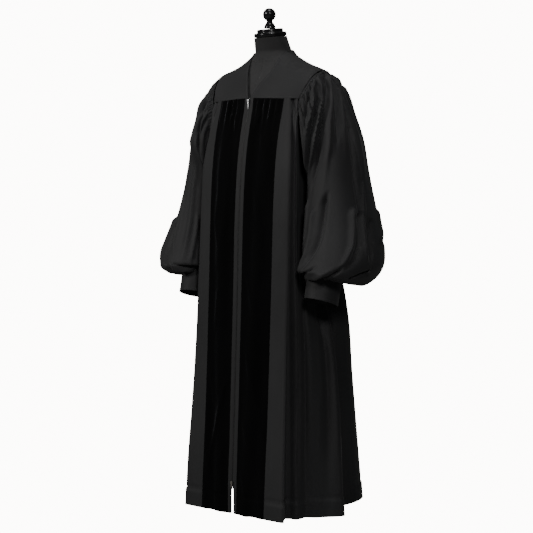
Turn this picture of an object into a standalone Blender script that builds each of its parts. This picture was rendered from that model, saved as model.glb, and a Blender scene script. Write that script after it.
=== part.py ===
"""A clergy robe on a limbless dress form, built piece by piece in metres.

Z is up, the robe's front faces -Y and the wearer's left is +X.
The foot of the stand lies on the floor at z = 0, with its middle at the origin.
"""
import math

import bpy
import numpy as np

# Sizes of the cloth and its seams
CLOTH = 0.0018
VELVET_CLOTH = 0.0022
SEAM = 0.0003
HEM_Z = 0.025
SLIT_TOP_Z = 0.108
SLIT_HALF = 0.0065

# The front closure
BAND_INNER_X = 0.0022
BAND_OUTER_X = 0.0160
TAPE_HALF_WIDTH = 0.0125
TAPE_THICK = 0.0012

# Colours of the materials, linear RGB
BLACK_CLOTH = (0.020, 0.020, 0.022)
BLACK_VELVET = (0.006, 0.006, 0.007)
BLACK_JERSEY = (0.017, 0.017, 0.018)
BLACK_LACQUER = (0.008, 0.008, 0.009)
BRIGHT_METAL = (0.62, 0.62, 0.63)
BLACK_METAL = (0.030, 0.030, 0.032)

# Yoke and shoulders: height, half width, centre y, depth to the front, depth to the back
YOKE_RINGS = [
    # z, half_width, centre_y, front_depth, back_depth
    (1.270, 0.2290, 0.008, 0.1170, 0.1060),
    (1.300, 0.2280, 0.008, 0.1115, 0.1040),
    (1.331, 0.2260, 0.010, 0.0990, 0.0990),
    (1.350, 0.2200, 0.013, 0.0910, 0.0925),
    (1.372, 0.2080, 0.019, 0.0820, 0.0790),
    (1.386, 0.1970, 0.024, 0.0765, 0.0690),
    (1.393, 0.1800, 0.027, 0.0760, 0.0640),
    (1.411, 0.1330, 0.034, 0.0730, 0.0520),
    (1.422, 0.1110, 0.034, 0.0700, 0.0505),
    (1.434, 0.0905, 0.033, 0.0630, 0.0490),
    (1.446, 0.0740, 0.031, 0.0570, 0.0500),
    (1.458, 0.0650, 0.030, 0.0520, 0.0510),
]

# The armhole seam, as its angle round the yoke rings at each height
YOKE_ARMHOLE = [
    # z, angle_deg
    (1.298, 45.6),
    (1.325, 48.6),
    (1.350, 53.6),
    (1.370, 60.5),
    (1.384, 72.0),
    (1.391, 90.0),
]
YOKE_ARMHOLE_BACK = [
    # z, angle_deg from the back's centre
    (1.298, 45.6),
    (1.325, 48.6),
    (1.350, 53.6),
    (1.370, 61.0),
    (1.384, 73.0),
    (1.391, 90.0),
]
NECK_EDGE = [
    # z, angle_deg
    (1.3065, 0.8),
    (1.331, 3.4),
    (1.372, 9.4),
    (1.397, 15.3),
    (1.420, 25.7),
    (1.437, 40.0),
    (1.450, 60.0),
    (1.458, 90.0),
]
NECK_EDGE_BACK = [
    # z, angle_deg from the back's centre
    (1.454, 0.0),
    (1.455, 30.0),
    (1.457, 60.0),
    (1.458, 90.0),
]

# The yoke seam drops a little from the middle to the armholes
YOKE_SEAM_Z = 1.3040
YOKE_SEAM_DROP = 0.0060
YOKE_CORNER_X = 0.163

# The front's centre line and how far its two seams lie behind it
FRONT_LINE = [
    # z, centre_y, velvet_edge_behind, pleat_edge_x, pleat_edge_behind
    (1.3040, -0.1025, 0.0165, 0.1375, 0.0220),
    (1.2900, -0.1040, 0.0160, 0.1400, 0.0225),
    (1.2600, -0.1100, 0.0135, 0.1450, 0.0225),
    (1.2100, -0.1230, 0.0110, 0.1535, 0.0215),
    (1.1440, -0.1365, 0.0105, 0.1620, 0.0190),
    (1.0830, -0.1455, 0.0110, 0.1670, 0.0205),
    (1.0220, -0.1515, 0.0115, 0.1680, 0.0220),
    (0.9000, -0.1585, 0.0118, 0.1690, 0.0230),
    (0.7770, -0.1627, 0.0115, 0.1715, 0.0210),
    (0.5930, -0.1705, 0.0110, 0.1735, 0.0180),
    (0.4080, -0.1785, 0.0100, 0.1780, 0.0140),
    (0.2230, -0.1870, 0.0070, 0.1840, 0.0070),
    (0.1000, -0.1930, 0.0030, 0.1875, 0.0035),
    (0.0250, -0.1935, 0.0000, 0.1895, 0.0025),
]
VELVET_EDGE_X = 0.1200

# Lines that fall from the yoke seam or the armhole to the hem, front of the side seam.
# Each is a list of points x, y, z from its top to the hem.
SIDE_LINES = {
    "pleat_return": [(0.1285, -0.0725, 1.3000), (0.1410, -0.0870, 1.2300), (0.1480, -0.1060, 1.1400),
                     (0.1500, -0.1160, 0.9500), (0.1510, -0.1200, 0.8000), (0.1540, -0.1230, 0.6800),
                     (0.1570, -0.1290, 0.5000), (0.1670, -0.1480, 0.0250)],
    "narrow_start": [(0.1440, -0.0690, 1.2990), (0.1500, -0.0840, 1.2300), (0.1560, -0.0990, 1.1400),
                     (0.1545, -0.1050, 0.9500), (0.1560, -0.1100, 0.8000), (0.1600, -0.1160, 0.6800),
                     (0.1660, -0.1210, 0.5000), (0.1810, -0.1380, 0.0250)],
    "narrow_crest": [(0.1590, -0.0720, 1.2980), (0.1645, -0.0850, 1.2300), (0.1685, -0.0960, 1.1400),
                     (0.1690, -0.0990, 0.9500), (0.1740, -0.1050, 0.8000), (0.1810, -0.1120, 0.6800),
                     (0.1890, -0.1180, 0.5000), (0.1990, -0.1360, 0.0250)],
    "narrow_back": [(0.1605, -0.0690, 1.2700), (0.1625, -0.0765, 1.2100), (0.1640, -0.0830, 1.1400),
                    (0.1590, -0.0800, 0.9500), (0.1660, -0.0830, 0.8000), (0.1800, -0.0920, 0.6800),
                    (0.1900, -0.0990, 0.5000), (0.2050, -0.1200, 0.0250)],
    "valley": [(0.1600, -0.0680, 1.2300), (0.1600, -0.0680, 1.1900), (0.1585, -0.0660, 1.1300),
               (0.1500, -0.0500, 0.9500), (0.1560, -0.0540, 0.8000), (0.1700, -0.0660, 0.6800),
               (0.1880, -0.0740, 0.5000), (0.2080, -0.0980, 0.0250)],
    "roll_front": [(0.1610, -0.0560, 1.1900), (0.1590, -0.0530, 1.1500), (0.1560, -0.0470, 1.0900),
                   (0.1480, -0.0280, 0.9500), (0.1530, -0.0300, 0.8000), (0.1790, -0.0400, 0.6800),
                   (0.2130, -0.0540, 0.5000), (0.2330, -0.0830, 0.0250)],
    "roll_crest": [(0.1640, -0.0380, 1.1600), (0.1610, -0.0350, 1.1300), (0.1555, -0.0260, 1.0700),
                   (0.1475, -0.0100, 0.9500), (0.1530, -0.0080, 0.8000), (0.1860, -0.0120, 0.6800),
                   (0.2370, -0.0300, 0.5000), (0.2600, -0.0540, 0.0250)],
    "sharp_fold": [(0.1675, -0.0190, 1.1450), (0.1640, -0.0170, 1.1250), (0.1555, -0.0080, 1.0600),
                   (0.1475, 0.0080, 0.9500), (0.1530, 0.0130, 0.8000), (0.1900, 0.0180, 0.6800),
                   (0.2500, -0.0060, 0.5000), (0.2930, -0.0140, 0.0250)],
    "side_seam": [(0.1700, 0.0000, 1.1400), (0.1655, 0.0030, 1.1200), (0.1555, 0.0120, 1.0600),
                  (0.1475, 0.0260, 0.9500), (0.1530, 0.0320, 0.8000), (0.1850, 0.0360, 0.6800),
                  (0.2260, 0.0180, 0.5000), (0.2560, 0.0260, 0.0250)],
}

# The same for the back, from the side seam to the middle of the back
BACK_LINES = {
    "side_seam": SIDE_LINES["side_seam"],
    "side_valley": [(0.1680, 0.0250, 1.1450), (0.1640, 0.0260, 1.1250), (0.1550, 0.0330, 1.0600),
                    (0.1480, 0.0470, 0.9500), (0.1530, 0.0540, 0.8000), (0.1790, 0.0600, 0.6800),
                    (0.1980, 0.0480, 0.5000), (0.2220, 0.0610, 0.0250)],
    "side_roll": [(0.1630, 0.0540, 1.1700), (0.1610, 0.0560, 1.1400), (0.1570, 0.0620, 1.0700),
                  (0.1540, 0.0720, 0.9500), (0.1620, 0.0800, 0.8000), (0.1900, 0.0940, 0.6800),
                  (0.2110, 0.0900, 0.5000), (0.2290, 0.1070, 0.0250)],
    "side_back": [(0.1600, 0.0740, 1.2200), (0.1600, 0.0780, 1.1700), (0.1590, 0.0860, 1.0800),
                  (0.1590, 0.0960, 0.9500), (0.1680, 0.1080, 0.8000), (0.1960, 0.1280, 0.6800),
                  (0.2130, 0.1370, 0.5000), (0.2320, 0.1640, 0.0250)],
    "corner": [(0.1600, 0.0810, 1.2850), (0.1610, 0.0890, 1.2000), (0.1600, 0.1010, 1.0800),
               (0.1590, 0.1160, 0.9500), (0.1670, 0.1310, 0.8000), (0.1900, 0.1590, 0.6800),
               (0.1960, 0.1730, 0.5000), (0.2130, 0.2210, 0.0250)],
    "valley_one": [(0.1380, 0.0880, 1.2990), (0.1380, 0.0900, 1.2000), (0.1400, 0.0980, 1.0800),
                   (0.1420, 0.1120, 0.9500), (0.1480, 0.1310, 0.8000), (0.1560, 0.1490, 0.6800),
                   (0.1600, 0.1760, 0.5000), (0.1730, 0.2290, 0.0250)],
    "crest_one": [(0.1160, 0.0985, 1.2990), (0.1180, 0.1080, 1.2000), (0.1210, 0.1220, 1.0800),
                  (0.1250, 0.1390, 0.9500), (0.1310, 0.1590, 0.8000), (0.1370, 0.1780, 0.6800),
                  (0.1410, 0.2080, 0.5000), (0.1460, 0.2660, 0.0250)],
    "valley_two": [(0.0920, 0.1020, 1.2990), (0.0930, 0.1040, 1.2000), (0.0950, 0.1130, 1.0800),
                   (0.0970, 0.1270, 0.9500), (0.0990, 0.1440, 0.8000), (0.1010, 0.1600, 0.6800),
                   (0.1050, 0.1880, 0.5000), (0.1080, 0.2400, 0.0250)],
    "crest_two": [(0.0700, 0.1075, 1.2990), (0.0700, 0.1170, 1.2000), (0.0700, 0.1310, 1.0800),
                  (0.0700, 0.1480, 0.9500), (0.0700, 0.1690, 0.8000), (0.0700, 0.1890, 0.6800),
                  (0.0710, 0.2190, 0.5000), (0.0720, 0.2780, 0.0250)],
    "valley_three": [(0.0470, 0.1085, 1.2990), (0.0460, 0.1110, 1.2000), (0.0450, 0.1200, 1.0800),
                     (0.0430, 0.1340, 0.9500), (0.0420, 0.1520, 0.8000), (0.0400, 0.1690, 0.6800),
                     (0.0390, 0.1970, 0.5000), (0.0360, 0.2500, 0.0250)],
    "crest_three": [(0.0240, 0.1110, 1.2990), (0.0230, 0.1200, 1.2000), (0.0210, 0.1340, 1.0800),
                    (0.0190, 0.1500, 0.9500), (0.0170, 0.1710, 0.8000), (0.0150, 0.1910, 0.6800),
                    (0.0130, 0.2210, 0.5000), (0.0100, 0.2800, 0.0250)],
    "centre_seam": [(0.0004, 0.1100, 1.2990), (0.0004, 0.1180, 1.2000), (0.0004, 0.1310, 1.0800),
                    (0.0004, 0.1470, 0.9500), (0.0004, 0.1670, 0.8000), (0.0004, 0.1870, 0.6800),
                    (0.0004, 0.2170, 0.5000), (0.0004, 0.2760, 0.0250)],
}

# How far down each line the rows of points lie, as a share of its height
FALL_ROWS = (0.0, 0.03, 0.08, 0.15, 0.24, 0.34, 0.44, 0.54, 0.66, 0.78, 0.89, 1.0)

# The sleeve, for the wearer's left: the rings below the seam round the armhole.
# Twelve points x, y, z go round from the shoulder's tip by the front, the underarm and the back.
HEAD_BAND_END = [
    (0.2020, 0.0260, 1.3800), (0.1950, -0.0300, 1.3610), (0.1900, -0.0600, 1.3330),
    (0.1790, -0.0840, 1.2880), (0.1775, -0.0840, 1.2410), (0.1790, -0.0640, 1.1720),
    (0.1820, 0.0050, 1.1250), (0.1790, 0.0700, 1.1520), (0.1780, 0.0940, 1.2210),
    (0.1800, 0.0990, 1.2890), (0.1900, 0.0840, 1.3330), (0.1960, 0.0680, 1.3600),
]
PUFF = [
    (0.2240, 0.0280, 1.3600), (0.2080, -0.0430, 1.3380), (0.2050, -0.0760, 1.3000),
    (0.2020, -0.0970, 1.2500), (0.1930, -0.0960, 1.1950), (0.1850, -0.0680, 1.1320),
    (0.1820, 0.0120, 1.0920), (0.1850, 0.0980, 1.1160), (0.1940, 0.1350, 1.1780),
    (0.2050, 0.1420, 1.2480), (0.2140, 0.1240, 1.3080), (0.2170, 0.0880, 1.3420),
]
UPPER_ARM = [
    (0.2500, 0.0300, 1.3000), (0.2360, -0.0480, 1.2750), (0.2270, -0.0780, 1.2350),
    (0.2210, -0.1030, 1.1850), (0.2020, -0.1010, 1.1320), (0.1870, -0.0680, 1.0900),
    (0.1800, 0.0200, 1.0670), (0.1870, 0.1060, 1.0820), (0.2040, 0.1520, 1.1270),
    (0.2260, 0.1680, 1.1800), (0.2320, 0.1360, 1.2380), (0.2430, 0.0960, 1.2780),
]
SLEEVE_RINGS = [
    # z, centre_x, centre_y, half_width_x, half_width_y, rise_outside, sag_outside_and_back
    (1.1050, 0.2280, 0.0340, 0.0650, 0.1130, 0.075, 0.0),
    (1.0100, 0.2410, 0.0380, 0.0790, 0.1240, 0.030, 0.0),
    (0.9200, 0.2560, 0.0330, 0.0910, 0.1360, 0.010, 0.0),
    (0.8450, 0.2720, 0.0210, 0.1000, 0.1490, 0.0, 0.004),
    (0.7950, 0.2770, 0.0000, 0.1020, 0.1500, 0.0, 0.010),
    (0.7660, 0.2720, -0.0220, 0.0940, 0.1380, 0.0, 0.016),
    (0.7525, 0.2620, -0.0360, 0.0780, 0.1000, 0.0, 0.022),
    (0.7605, 0.2500, -0.0480, 0.0610, 0.0680, 0.0, 0.0105),
]
CUFF_TOP = (0.2460, -0.0500, 0.7680)
CUFF_END = (0.2450, -0.0700, 0.6840)
CUFF_TOP_SLOPE = (0.0, -0.12)
CUFF_END_SLOPE = (-0.07, -0.31)
CUFF_HALF_X = 0.0495
CUFF_HALF_Y = 0.0560
SLEEVE_POINTS = 40
HEAD_GAP = 0.0036
SLEEVE_FOLDS = 10

# The form under the robe: height, half width, centre y, depth to the front, depth to the back
FORM_RINGS = [
    # z, half_width, centre_y, front_depth, back_depth
    (0.8000, 0.1160, 0.006, 0.0830, 0.0850),
    (0.8250, 0.1330, 0.006, 0.0950, 0.0980),
    (0.9100, 0.1400, 0.006, 0.1030, 0.1060),
    (1.0300, 0.1190, 0.006, 0.0900, 0.0900),
    (1.1300, 0.1290, 0.006, 0.0980, 0.0950),
    (1.2300, 0.1440, 0.008, 0.1060, 0.0980),
    (1.2950, 0.1580, 0.008, 0.1050, 0.0975),
    (1.3350, 0.1690, 0.011, 0.0910, 0.0900),
    (1.3660, 0.1700, 0.017, 0.0760, 0.0770),
    (1.3870, 0.1690, 0.025, 0.0700, 0.0620),
    (1.3960, 0.1650, 0.027, 0.0690, 0.0580),
    (1.4110, 0.1280, 0.034, 0.0685, 0.0480),
    (1.4220, 0.1065, 0.034, 0.0655, 0.0465),
    (1.4340, 0.0862, 0.033, 0.0585, 0.0450),
    (1.4460, 0.0695, 0.029, 0.0520, 0.0460),
    (1.4530, 0.0635, 0.027, 0.0495, 0.0470),
    (1.4620, 0.0605, 0.022, 0.0490, 0.0520),
    (1.4800, 0.0565, 0.015, 0.0505, 0.0520),
]
FORM_POINTS = 24
NECK_TILT_DEG = 8.0
FINIAL_TILT_DEG = 3.5
NECK_TOP = (0.0, 0.008, 1.5000)
FINIAL_FOOT = (0.0, 0.0045, 1.5268)
NECK_TOP_HALF = (0.0520, 0.0500)

# The turned cap on the neck, as radius and height above the neck's top, and the finial above its foot
CAP_PROFILE = [
    (0.0, 0.0250), (0.0330, 0.0250), (0.0395, 0.0238), (0.0412, 0.0205), (0.0412, 0.0160),
    (0.0430, 0.0140), (0.0480, 0.0136), (0.0508, 0.0115), (0.0515, 0.0080), (0.0510, 0.0035),
    (0.0490, 0.0008), (0.0, 0.0008),
]
FINIAL_PROFILE = [
    (0.0, 0.0622), (0.0062, 0.0612), (0.0120, 0.0582), (0.0170, 0.0532), (0.0198, 0.0472),
    (0.0204, 0.0416), (0.0194, 0.0350), (0.0165, 0.0292), (0.0122, 0.0246), (0.0090, 0.0218),
    (0.0092, 0.0195), (0.0116, 0.0160), (0.0150, 0.0110), (0.0174, 0.0060), (0.0184, 0.0015),
    (0.0184, 0.0), (0.0, 0.0),
]
CAP_STEPS = 24
FINIAL_STEPS = 18

# The stand
POLE_RADIUS = 0.0140
HUB_RADIUS = 0.0420
FOOT_THICK = 0.0080
ARM_HALF_WIDTH = 0.0110
FOOT_ARMS = [
    # angle_deg, reach
    (30.0, 0.2100),
    (150.0, 0.2100),
    (270.0, 0.1300),
]


def curve(rows, at):
    """The value at `at` of a smooth curve through rows of (x, value), with no overshoot."""
    rows = sorted(rows)
    xs = [row[0] for row in rows]
    ys = [row[1] for row in rows]
    if at <= xs[0]:
        return ys[0]
    if at >= xs[-1]:
        return ys[-1]
    count = len(xs)
    slopes = [(ys[i + 1] - ys[i]) / (xs[i + 1] - xs[i]) for i in range(count - 1)]
    tangents = [slopes[0]]
    for i in range(1, count - 1):
        if slopes[i - 1] * slopes[i] <= 0:
            tangents.append(0.0)
        else:
            tangents.append(2 * slopes[i - 1] * slopes[i] / (slopes[i - 1] + slopes[i]))
    tangents.append(slopes[-1])
    i = next(k for k in range(count - 1) if at <= xs[k + 1])
    width = xs[i + 1] - xs[i]
    t = (at - xs[i]) / width
    low = (2 * t ** 3 - 3 * t ** 2 + 1) * ys[i] + (t ** 3 - 2 * t ** 2 + t) * width * tangents[i]
    high = (3 * t ** 2 - 2 * t ** 3) * ys[i + 1] + (t ** 3 - t ** 2) * width * tangents[i + 1]
    return low + high


def column(table, index, at):
    """A smooth curve through one column of a table whose first column is the height."""
    return curve([(row[0], row[index]) for row in table], at)


def spline(points, shares, closed=False):
    """Points at the given shares of a Catmull-Rom curve through `points`."""
    points = np.asarray(points, float)
    count = len(points)
    spans = count if closed else count - 1
    found = []
    for share in shares:
        place = share * spans
        i = min(int(place), spans - 1)
        t = place - i
        if closed:
            p0, p1, p2, p3 = (points[(i + k - 1) % count] for k in range(4))
        else:
            p1, p2 = points[i], points[i + 1]
            p0 = points[i - 1] if i > 0 else 2 * p1 - p2
            p3 = points[i + 2] if i + 2 < count else 2 * p2 - p1
        found.append(0.5 * (2 * p1 + (p2 - p0) * t + (2 * p0 - 5 * p1 + 4 * p2 - p3) * t ** 2
                            + (3 * p1 - p0 - 3 * p2 + p3) * t ** 3))
    return np.array(found)


def shares(count):
    """`count` even steps from 0 to 1."""
    return [i / (count - 1) for i in range(count)]


def material(name, colour, roughness, metallic=0.0):
    """One material for one object."""
    made = bpy.data.materials.new(name)
    made.use_nodes = True
    shader = made.node_tree.nodes["Principled BSDF"]
    shader.inputs["Base Color"].default_value = (*colour, 1.0)
    shader.inputs["Roughness"].default_value = roughness
    shader.inputs["Metallic"].default_value = metallic
    return made


def cloth(name):
    return material(name, BLACK_CLOTH, 0.85)


def velvet(name):
    return material(name, BLACK_VELVET, 0.95)


def add_object(name, vertices, faces, shader):
    """Make one solid, with its faces turned to point out."""
    vertices = np.asarray(vertices, float)
    volume = 0.0
    for face in faces:
        for k in range(1, len(face) - 1):
            a, b, c = vertices[face[0]], vertices[face[k]], vertices[face[k + 1]]
            volume += float(np.dot(a, np.cross(b, c)))
    if volume < 0:
        faces = [tuple(reversed(face)) for face in faces]
    mesh = bpy.data.meshes.new(name)
    mesh.from_pydata([tuple(v) for v in vertices], [], faces)
    mesh.materials.append(shader)
    mesh.update()
    made = bpy.data.objects.new(name, mesh)
    robe.objects.link(made)
    return made


def split(points, quad):
    """Two triangles for a quad, cut along its shorter diagonal."""
    a, b, c, d = quad
    if np.linalg.norm(points[a] - points[c]) <= np.linalg.norm(points[b] - points[d]):
        return (a, b, c), (a, c, d)
    return (a, b, d), (b, c, d)


def wall(grid, thick, closed=False, square=()):
    """Points and faces of a cloth wall, laid evenly on both sides of a grid of points.

    square lists edges that are cut square: (rows, columns, axis along which the edge doesn't lean).
    """
    grid = np.asarray(grid, float)
    rows, cols = grid.shape[:2]
    if closed:
        across = np.roll(grid, -1, axis=1) - np.roll(grid, 1, axis=1)
    else:
        across = np.gradient(grid, axis=1)
    down = np.gradient(grid, axis=0)
    normal = np.cross(across, down)
    for row_part, col_part, axis in square:
        normal[row_part, col_part, axis] = 0.0
    normal /= np.linalg.norm(normal, axis=2, keepdims=True)
    outer = (grid + normal * thick / 2).reshape(-1, 3)
    inner = (grid - normal * thick / 2).reshape(-1, 3)
    shift = rows * cols

    def at(i, j):
        return i * cols + j % cols

    faces = []
    spans = cols if closed else cols - 1
    for i in range(rows - 1):
        for j in range(spans):
            quad = (at(i, j), at(i, j + 1), at(i + 1, j + 1), at(i + 1, j))
            for corners in split(grid.reshape(-1, 3), quad):
                faces.append(corners)
                faces.append(tuple(shift + v for v in reversed(corners)))
    for j in range(spans):
        faces.append((at(0, j + 1), at(0, j), shift + at(0, j), shift + at(0, j + 1)))
        last = rows - 1
        faces.append((at(last, j), at(last, j + 1), shift + at(last, j + 1), shift + at(last, j)))
    if not closed:
        for i in range(rows - 1):
            faces.append((at(i, 0), at(i + 1, 0), shift + at(i + 1, 0), shift + at(i, 0)))
            end = cols - 1
            faces.append((at(i + 1, end), at(i, end), shift + at(i, end), shift + at(i + 1, end)))
    return np.vstack([outer, inner]), faces


def stack(name, rings, shader):
    """A solid through closed rings of points, closed by flat ends."""
    rings = np.asarray(rings, float)
    count, around = rings.shape[:2]
    faces = []
    for i in range(count - 1):
        for j in range(around):
            k = (j + 1) % around
            faces.append((i * around + j, i * around + k, (i + 1) * around + k, (i + 1) * around + j))
    faces.append(tuple(reversed(range(around))))
    faces.append(tuple(range((count - 1) * around, count * around)))
    return add_object(name, rings.reshape(-1, 3), faces, shader)


def turned(name, profile, steps, shader, place, tilt):
    """A turned solid: its outline as radius and height, from the top down, spun about Z."""
    mesh = bpy.data.meshes.new(name)
    edges = [(i, i + 1) for i in range(len(profile) - 1)]
    mesh.from_pydata([(radius, 0.0, height) for radius, height in profile], edges, [])
    mesh.materials.append(shader)
    made = bpy.data.objects.new(name, mesh)
    robe.objects.link(made)
    spin = made.modifiers.new("spin", "SCREW")
    spin.axis = "Z"
    spin.angle = math.tau
    spin.steps = steps
    spin.render_steps = steps
    spin.use_merge_vertices = True
    spin.merge_threshold = 0.00001
    spin.use_smooth_shade = False
    made.location = place
    made.rotation_euler = (tilt, 0.0, 0.0)
    return made


def pair(name, grid, thick, shader_kind, closed=False, square=()):
    """A piece for the wearer's left, and its mirror image for the right."""
    points, faces = wall(grid, thick, closed, square)
    add_object(name + "_left", points, faces, shader_kind(name + "_left"))
    add_object(name + "_right", points * np.array([-1.0, 1.0, 1.0]), faces, shader_kind(name + "_right"))


# Surfaces that several pieces share
def ring_point(table, z, angle, back=False):
    """A point on the ring of a table at height z, by its angle from the front or the back."""
    turn = math.radians(angle)
    middle = column(table, 2, z)
    x = column(table, 1, z) * math.sin(turn)
    if back:
        return (x, middle + column(table, 4, z) * math.cos(turn), z)
    return (x, middle - column(table, 3, z) * math.cos(turn), z)


def seam_z(x):
    """The height of the yoke seam."""
    return YOKE_SEAM_Z - YOKE_SEAM_DROP * min(1.0, abs(x) / YOKE_CORNER_X)


def front_y(x, z):
    """The front of the robe below the yoke, from its middle to the edge of the flat pleat."""
    x = abs(x)
    middle = column(FRONT_LINE, 1, z)
    at_velvet = column(FRONT_LINE, 2, z)
    pleat_x = column(FRONT_LINE, 3, z)
    at_pleat = column(FRONT_LINE, 4, z)
    if x <= VELVET_EDGE_X:
        return middle + at_velvet * (x / VELVET_EDGE_X) ** 2
    share = (x - VELVET_EDGE_X) / (pleat_x - VELVET_EDGE_X)
    return middle + at_velvet + (at_pleat - at_velvet) * share


def gather(x, z):
    """How far the velvet's short gathers stand out below the yoke seam, and its long soft folds."""
    below = seam_z(x) - z
    short = 0.0034 * math.exp(-((below - 0.035) / 0.045) ** 2)
    ripple = math.cos(math.tau * (x - 0.018) / 0.0215)
    fade = min(1.0, below / 0.10)
    across = (x - 0.066) / 0.052
    long_fold = 0.0042 * fade * math.sin(math.pi * (1.35 * across + 0.8 * below))
    edge = max(0.0, 1.0 - across ** 2)
    return edge * (short * ripple + long_fold)


def under_seam(grid):
    """Keep the top row of a grid below the yoke seam."""
    for point in grid[0]:
        point[2] = min(point[2], seam_z(point[0]) - SEAM)
    return grid


def fall(points):
    """Points down one line of the cloth, at the shares in FALL_ROWS of its height."""
    top, low = points[0][2], points[-1][2]
    if top > 1.29:
        top = seam_z(points[0][0]) - SEAM
    found = []
    for share in FALL_ROWS:
        z = top + (low - top) * share
        x = curve([(p[2], p[0]) for p in points], z)
        y = curve([(p[2], p[1]) for p in points], z)
        found.append((x, y, z))
    return found


# Start from an empty scene
for old in list(bpy.data.objects):
    bpy.data.objects.remove(old)
robe = bpy.data.collections.new("clergy robe on dress form")
bpy.context.scene.collection.children.link(robe)


# Front yokes, from the V neck to the armhole and from the yoke seam to the shoulder seam
SEAM_ANGLE = 89.8


def along(table, t):
    """The row of a (z, angle) table at the share t of its rows."""
    steps = len(table) - 1
    return tuple(curve([(k / steps, row[i]) for k, row in enumerate(table)], t) for i in (0, 1))


def yoke_grid():
    """Rows from the yoke seam up to the shoulder seam, columns from the neck edge to the armhole."""
    neck_start, arm_start = NECK_EDGE[0], YOKE_ARMHOLE[0]
    grid = []
    for t in shares(12):
        neck_z, neck_turn = along(NECK_EDGE, t)
        arm_z, arm_turn = along(YOKE_ARMHOLE, t)
        line = []
        for s in shares(9):
            low_turn = neck_start[1] + (arm_start[1] - neck_start[1]) * s
            low_z = seam_z(ring_point(YOKE_RINGS, YOKE_SEAM_Z, low_turn)[0])
            high_z = NECK_EDGE[-1][0] + (YOKE_ARMHOLE[-1][0] - NECK_EDGE[-1][0]) * s
            corner_z = neck_start[0] + (arm_start[0] - neck_start[0]) * s
            z = neck_z + (arm_z - neck_z) * s + (low_z - corner_z) * (1 - t)
            z = z + (high_z - (NECK_EDGE[-1][0] + (YOKE_ARMHOLE[-1][0] - NECK_EDGE[-1][0]) * s)) * t
            turn = min(SEAM_ANGLE, neck_turn + (arm_turn - neck_turn) * s)
            line.append(ring_point(YOKE_RINGS, z, turn))
        grid.append(line)
    return np.array(grid)


front_yoke = yoke_grid()
pair("yoke_front", front_yoke, CLOTH, cloth, square=[(0, slice(None), 2), (-1, slice(None), 1)])


# Back yoke, one piece over both shoulders
def back_yoke_grid():
    """Rows from the neck edge out to the armhole and the yoke seam, columns from seam to seam."""
    arm_columns, seam_columns = 6, 9
    outer, inner = [], []
    for k in range(arm_columns):
        outer.append(along(YOKE_ARMHOLE_BACK, 1 - k / arm_columns))
    for k in range(seam_columns):
        turn = YOKE_ARMHOLE_BACK[0][1] * (1 - k / (seam_columns - 1))
        outer.append((seam_z(ring_point(YOKE_RINGS, YOKE_SEAM_Z, turn, True)[0]), turn))
    for s in shares(len(outer)):
        inner.append(along(NECK_EDGE_BACK, 1 - s))
    half = []
    for t in shares(8):
        line = []
        for (in_z, in_turn), (out_z, out_turn) in zip(inner, outer):
            turn = min(SEAM_ANGLE, in_turn + (out_turn - in_turn) * t)
            line.append(ring_point(YOKE_RINGS, in_z + (out_z - in_z) * t, turn, True))
        half.append(line)
    half = np.array(half)
    other = half[:, -2::-1] * np.array([-1.0, 1.0, 1.0])
    return np.concatenate([half, other], axis=1), arm_columns


back_yoke, arm_columns = back_yoke_grid()
points, faces = wall(back_yoke, CLOTH, square=[(slice(None), 0, 1), (slice(None), -1, 1),
                                               (-1, slice(arm_columns, -arm_columns), 2)])
add_object("yoke_back", points, faces, cloth("yoke_back"))

# Heights of the rows of the front's flat pieces
FRONT_ROWS = (1.3030, 1.2850, 1.2600, 1.2300, 1.1800, 1.1000, 1.0000, 0.8600, 0.7000, 0.5300, 0.3600, 0.1900, 0.0250)
BAND_ROWS = (1.3030, 1.2700, 1.2300, 1.1800, 1.1000, 0.9500, 0.7000, 0.4500, 0.2500, 0.1400, 0.1080, 0.0960,
             0.0600, 0.0250)


def row_z(x, z):
    """The height of a row of points, with the top row brought to the yoke seam."""
    return min(z, seam_z(x) - SEAM)


def slit_inner(z, closed_x):
    """The inner edge of a closure piece: shut above the lower slider, open below it."""
    if z >= SLIT_TOP_Z:
        return closed_x
    opened = min(1.0, (SLIT_TOP_Z - z) / 0.014)
    return closed_x + (SLIT_HALF - BAND_INNER_X) * math.sin(opened * math.pi / 2)


# The two matte bands down the front, and the zip's tapes behind them
band = []
for z in BAND_ROWS:
    inner = slit_inner(z, BAND_INNER_X)
    band.append([(inner + (BAND_OUTER_X - inner) * s, front_y(inner, z) - 0.0006 * math.sin(math.pi * s),
                  row_z(0.01, z)) for s in shares(3)])
flat_ends = [(0, slice(None), 2), (-1, slice(None), 2)]
pair("front_band", band, CLOTH, cloth, square=flat_ends)

tape = []
for z in BAND_ROWS:
    inner = slit_inner(z, 0.0005)
    depth = CLOTH / 2 + SEAM + TAPE_THICK / 2
    tape.append([(inner + (TAPE_HALF_WIDTH - inner) * s, front_y(inner, z) + depth, row_z(0.01, z))
                 for s in shares(2)])
pair("zip_tape", tape, TAPE_THICK, cloth, square=flat_ends)

# The velvet panels, gathered at the yoke seam
panel = []
for z in FRONT_ROWS:
    line = []
    for s in shares(17):
        x = BAND_OUTER_X + SEAM + (VELVET_EDGE_X - BAND_OUTER_X - SEAM) * s
        height = row_z(x, z)
        line.append((x, front_y(x, height) - gather(x, height), height))
    panel.append(line)
sides = [(slice(None), 0, 0), (slice(None), -1, 0)]
pair("velvet_panel", panel, VELVET_CLOTH, velvet, square=flat_ends + sides)


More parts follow.
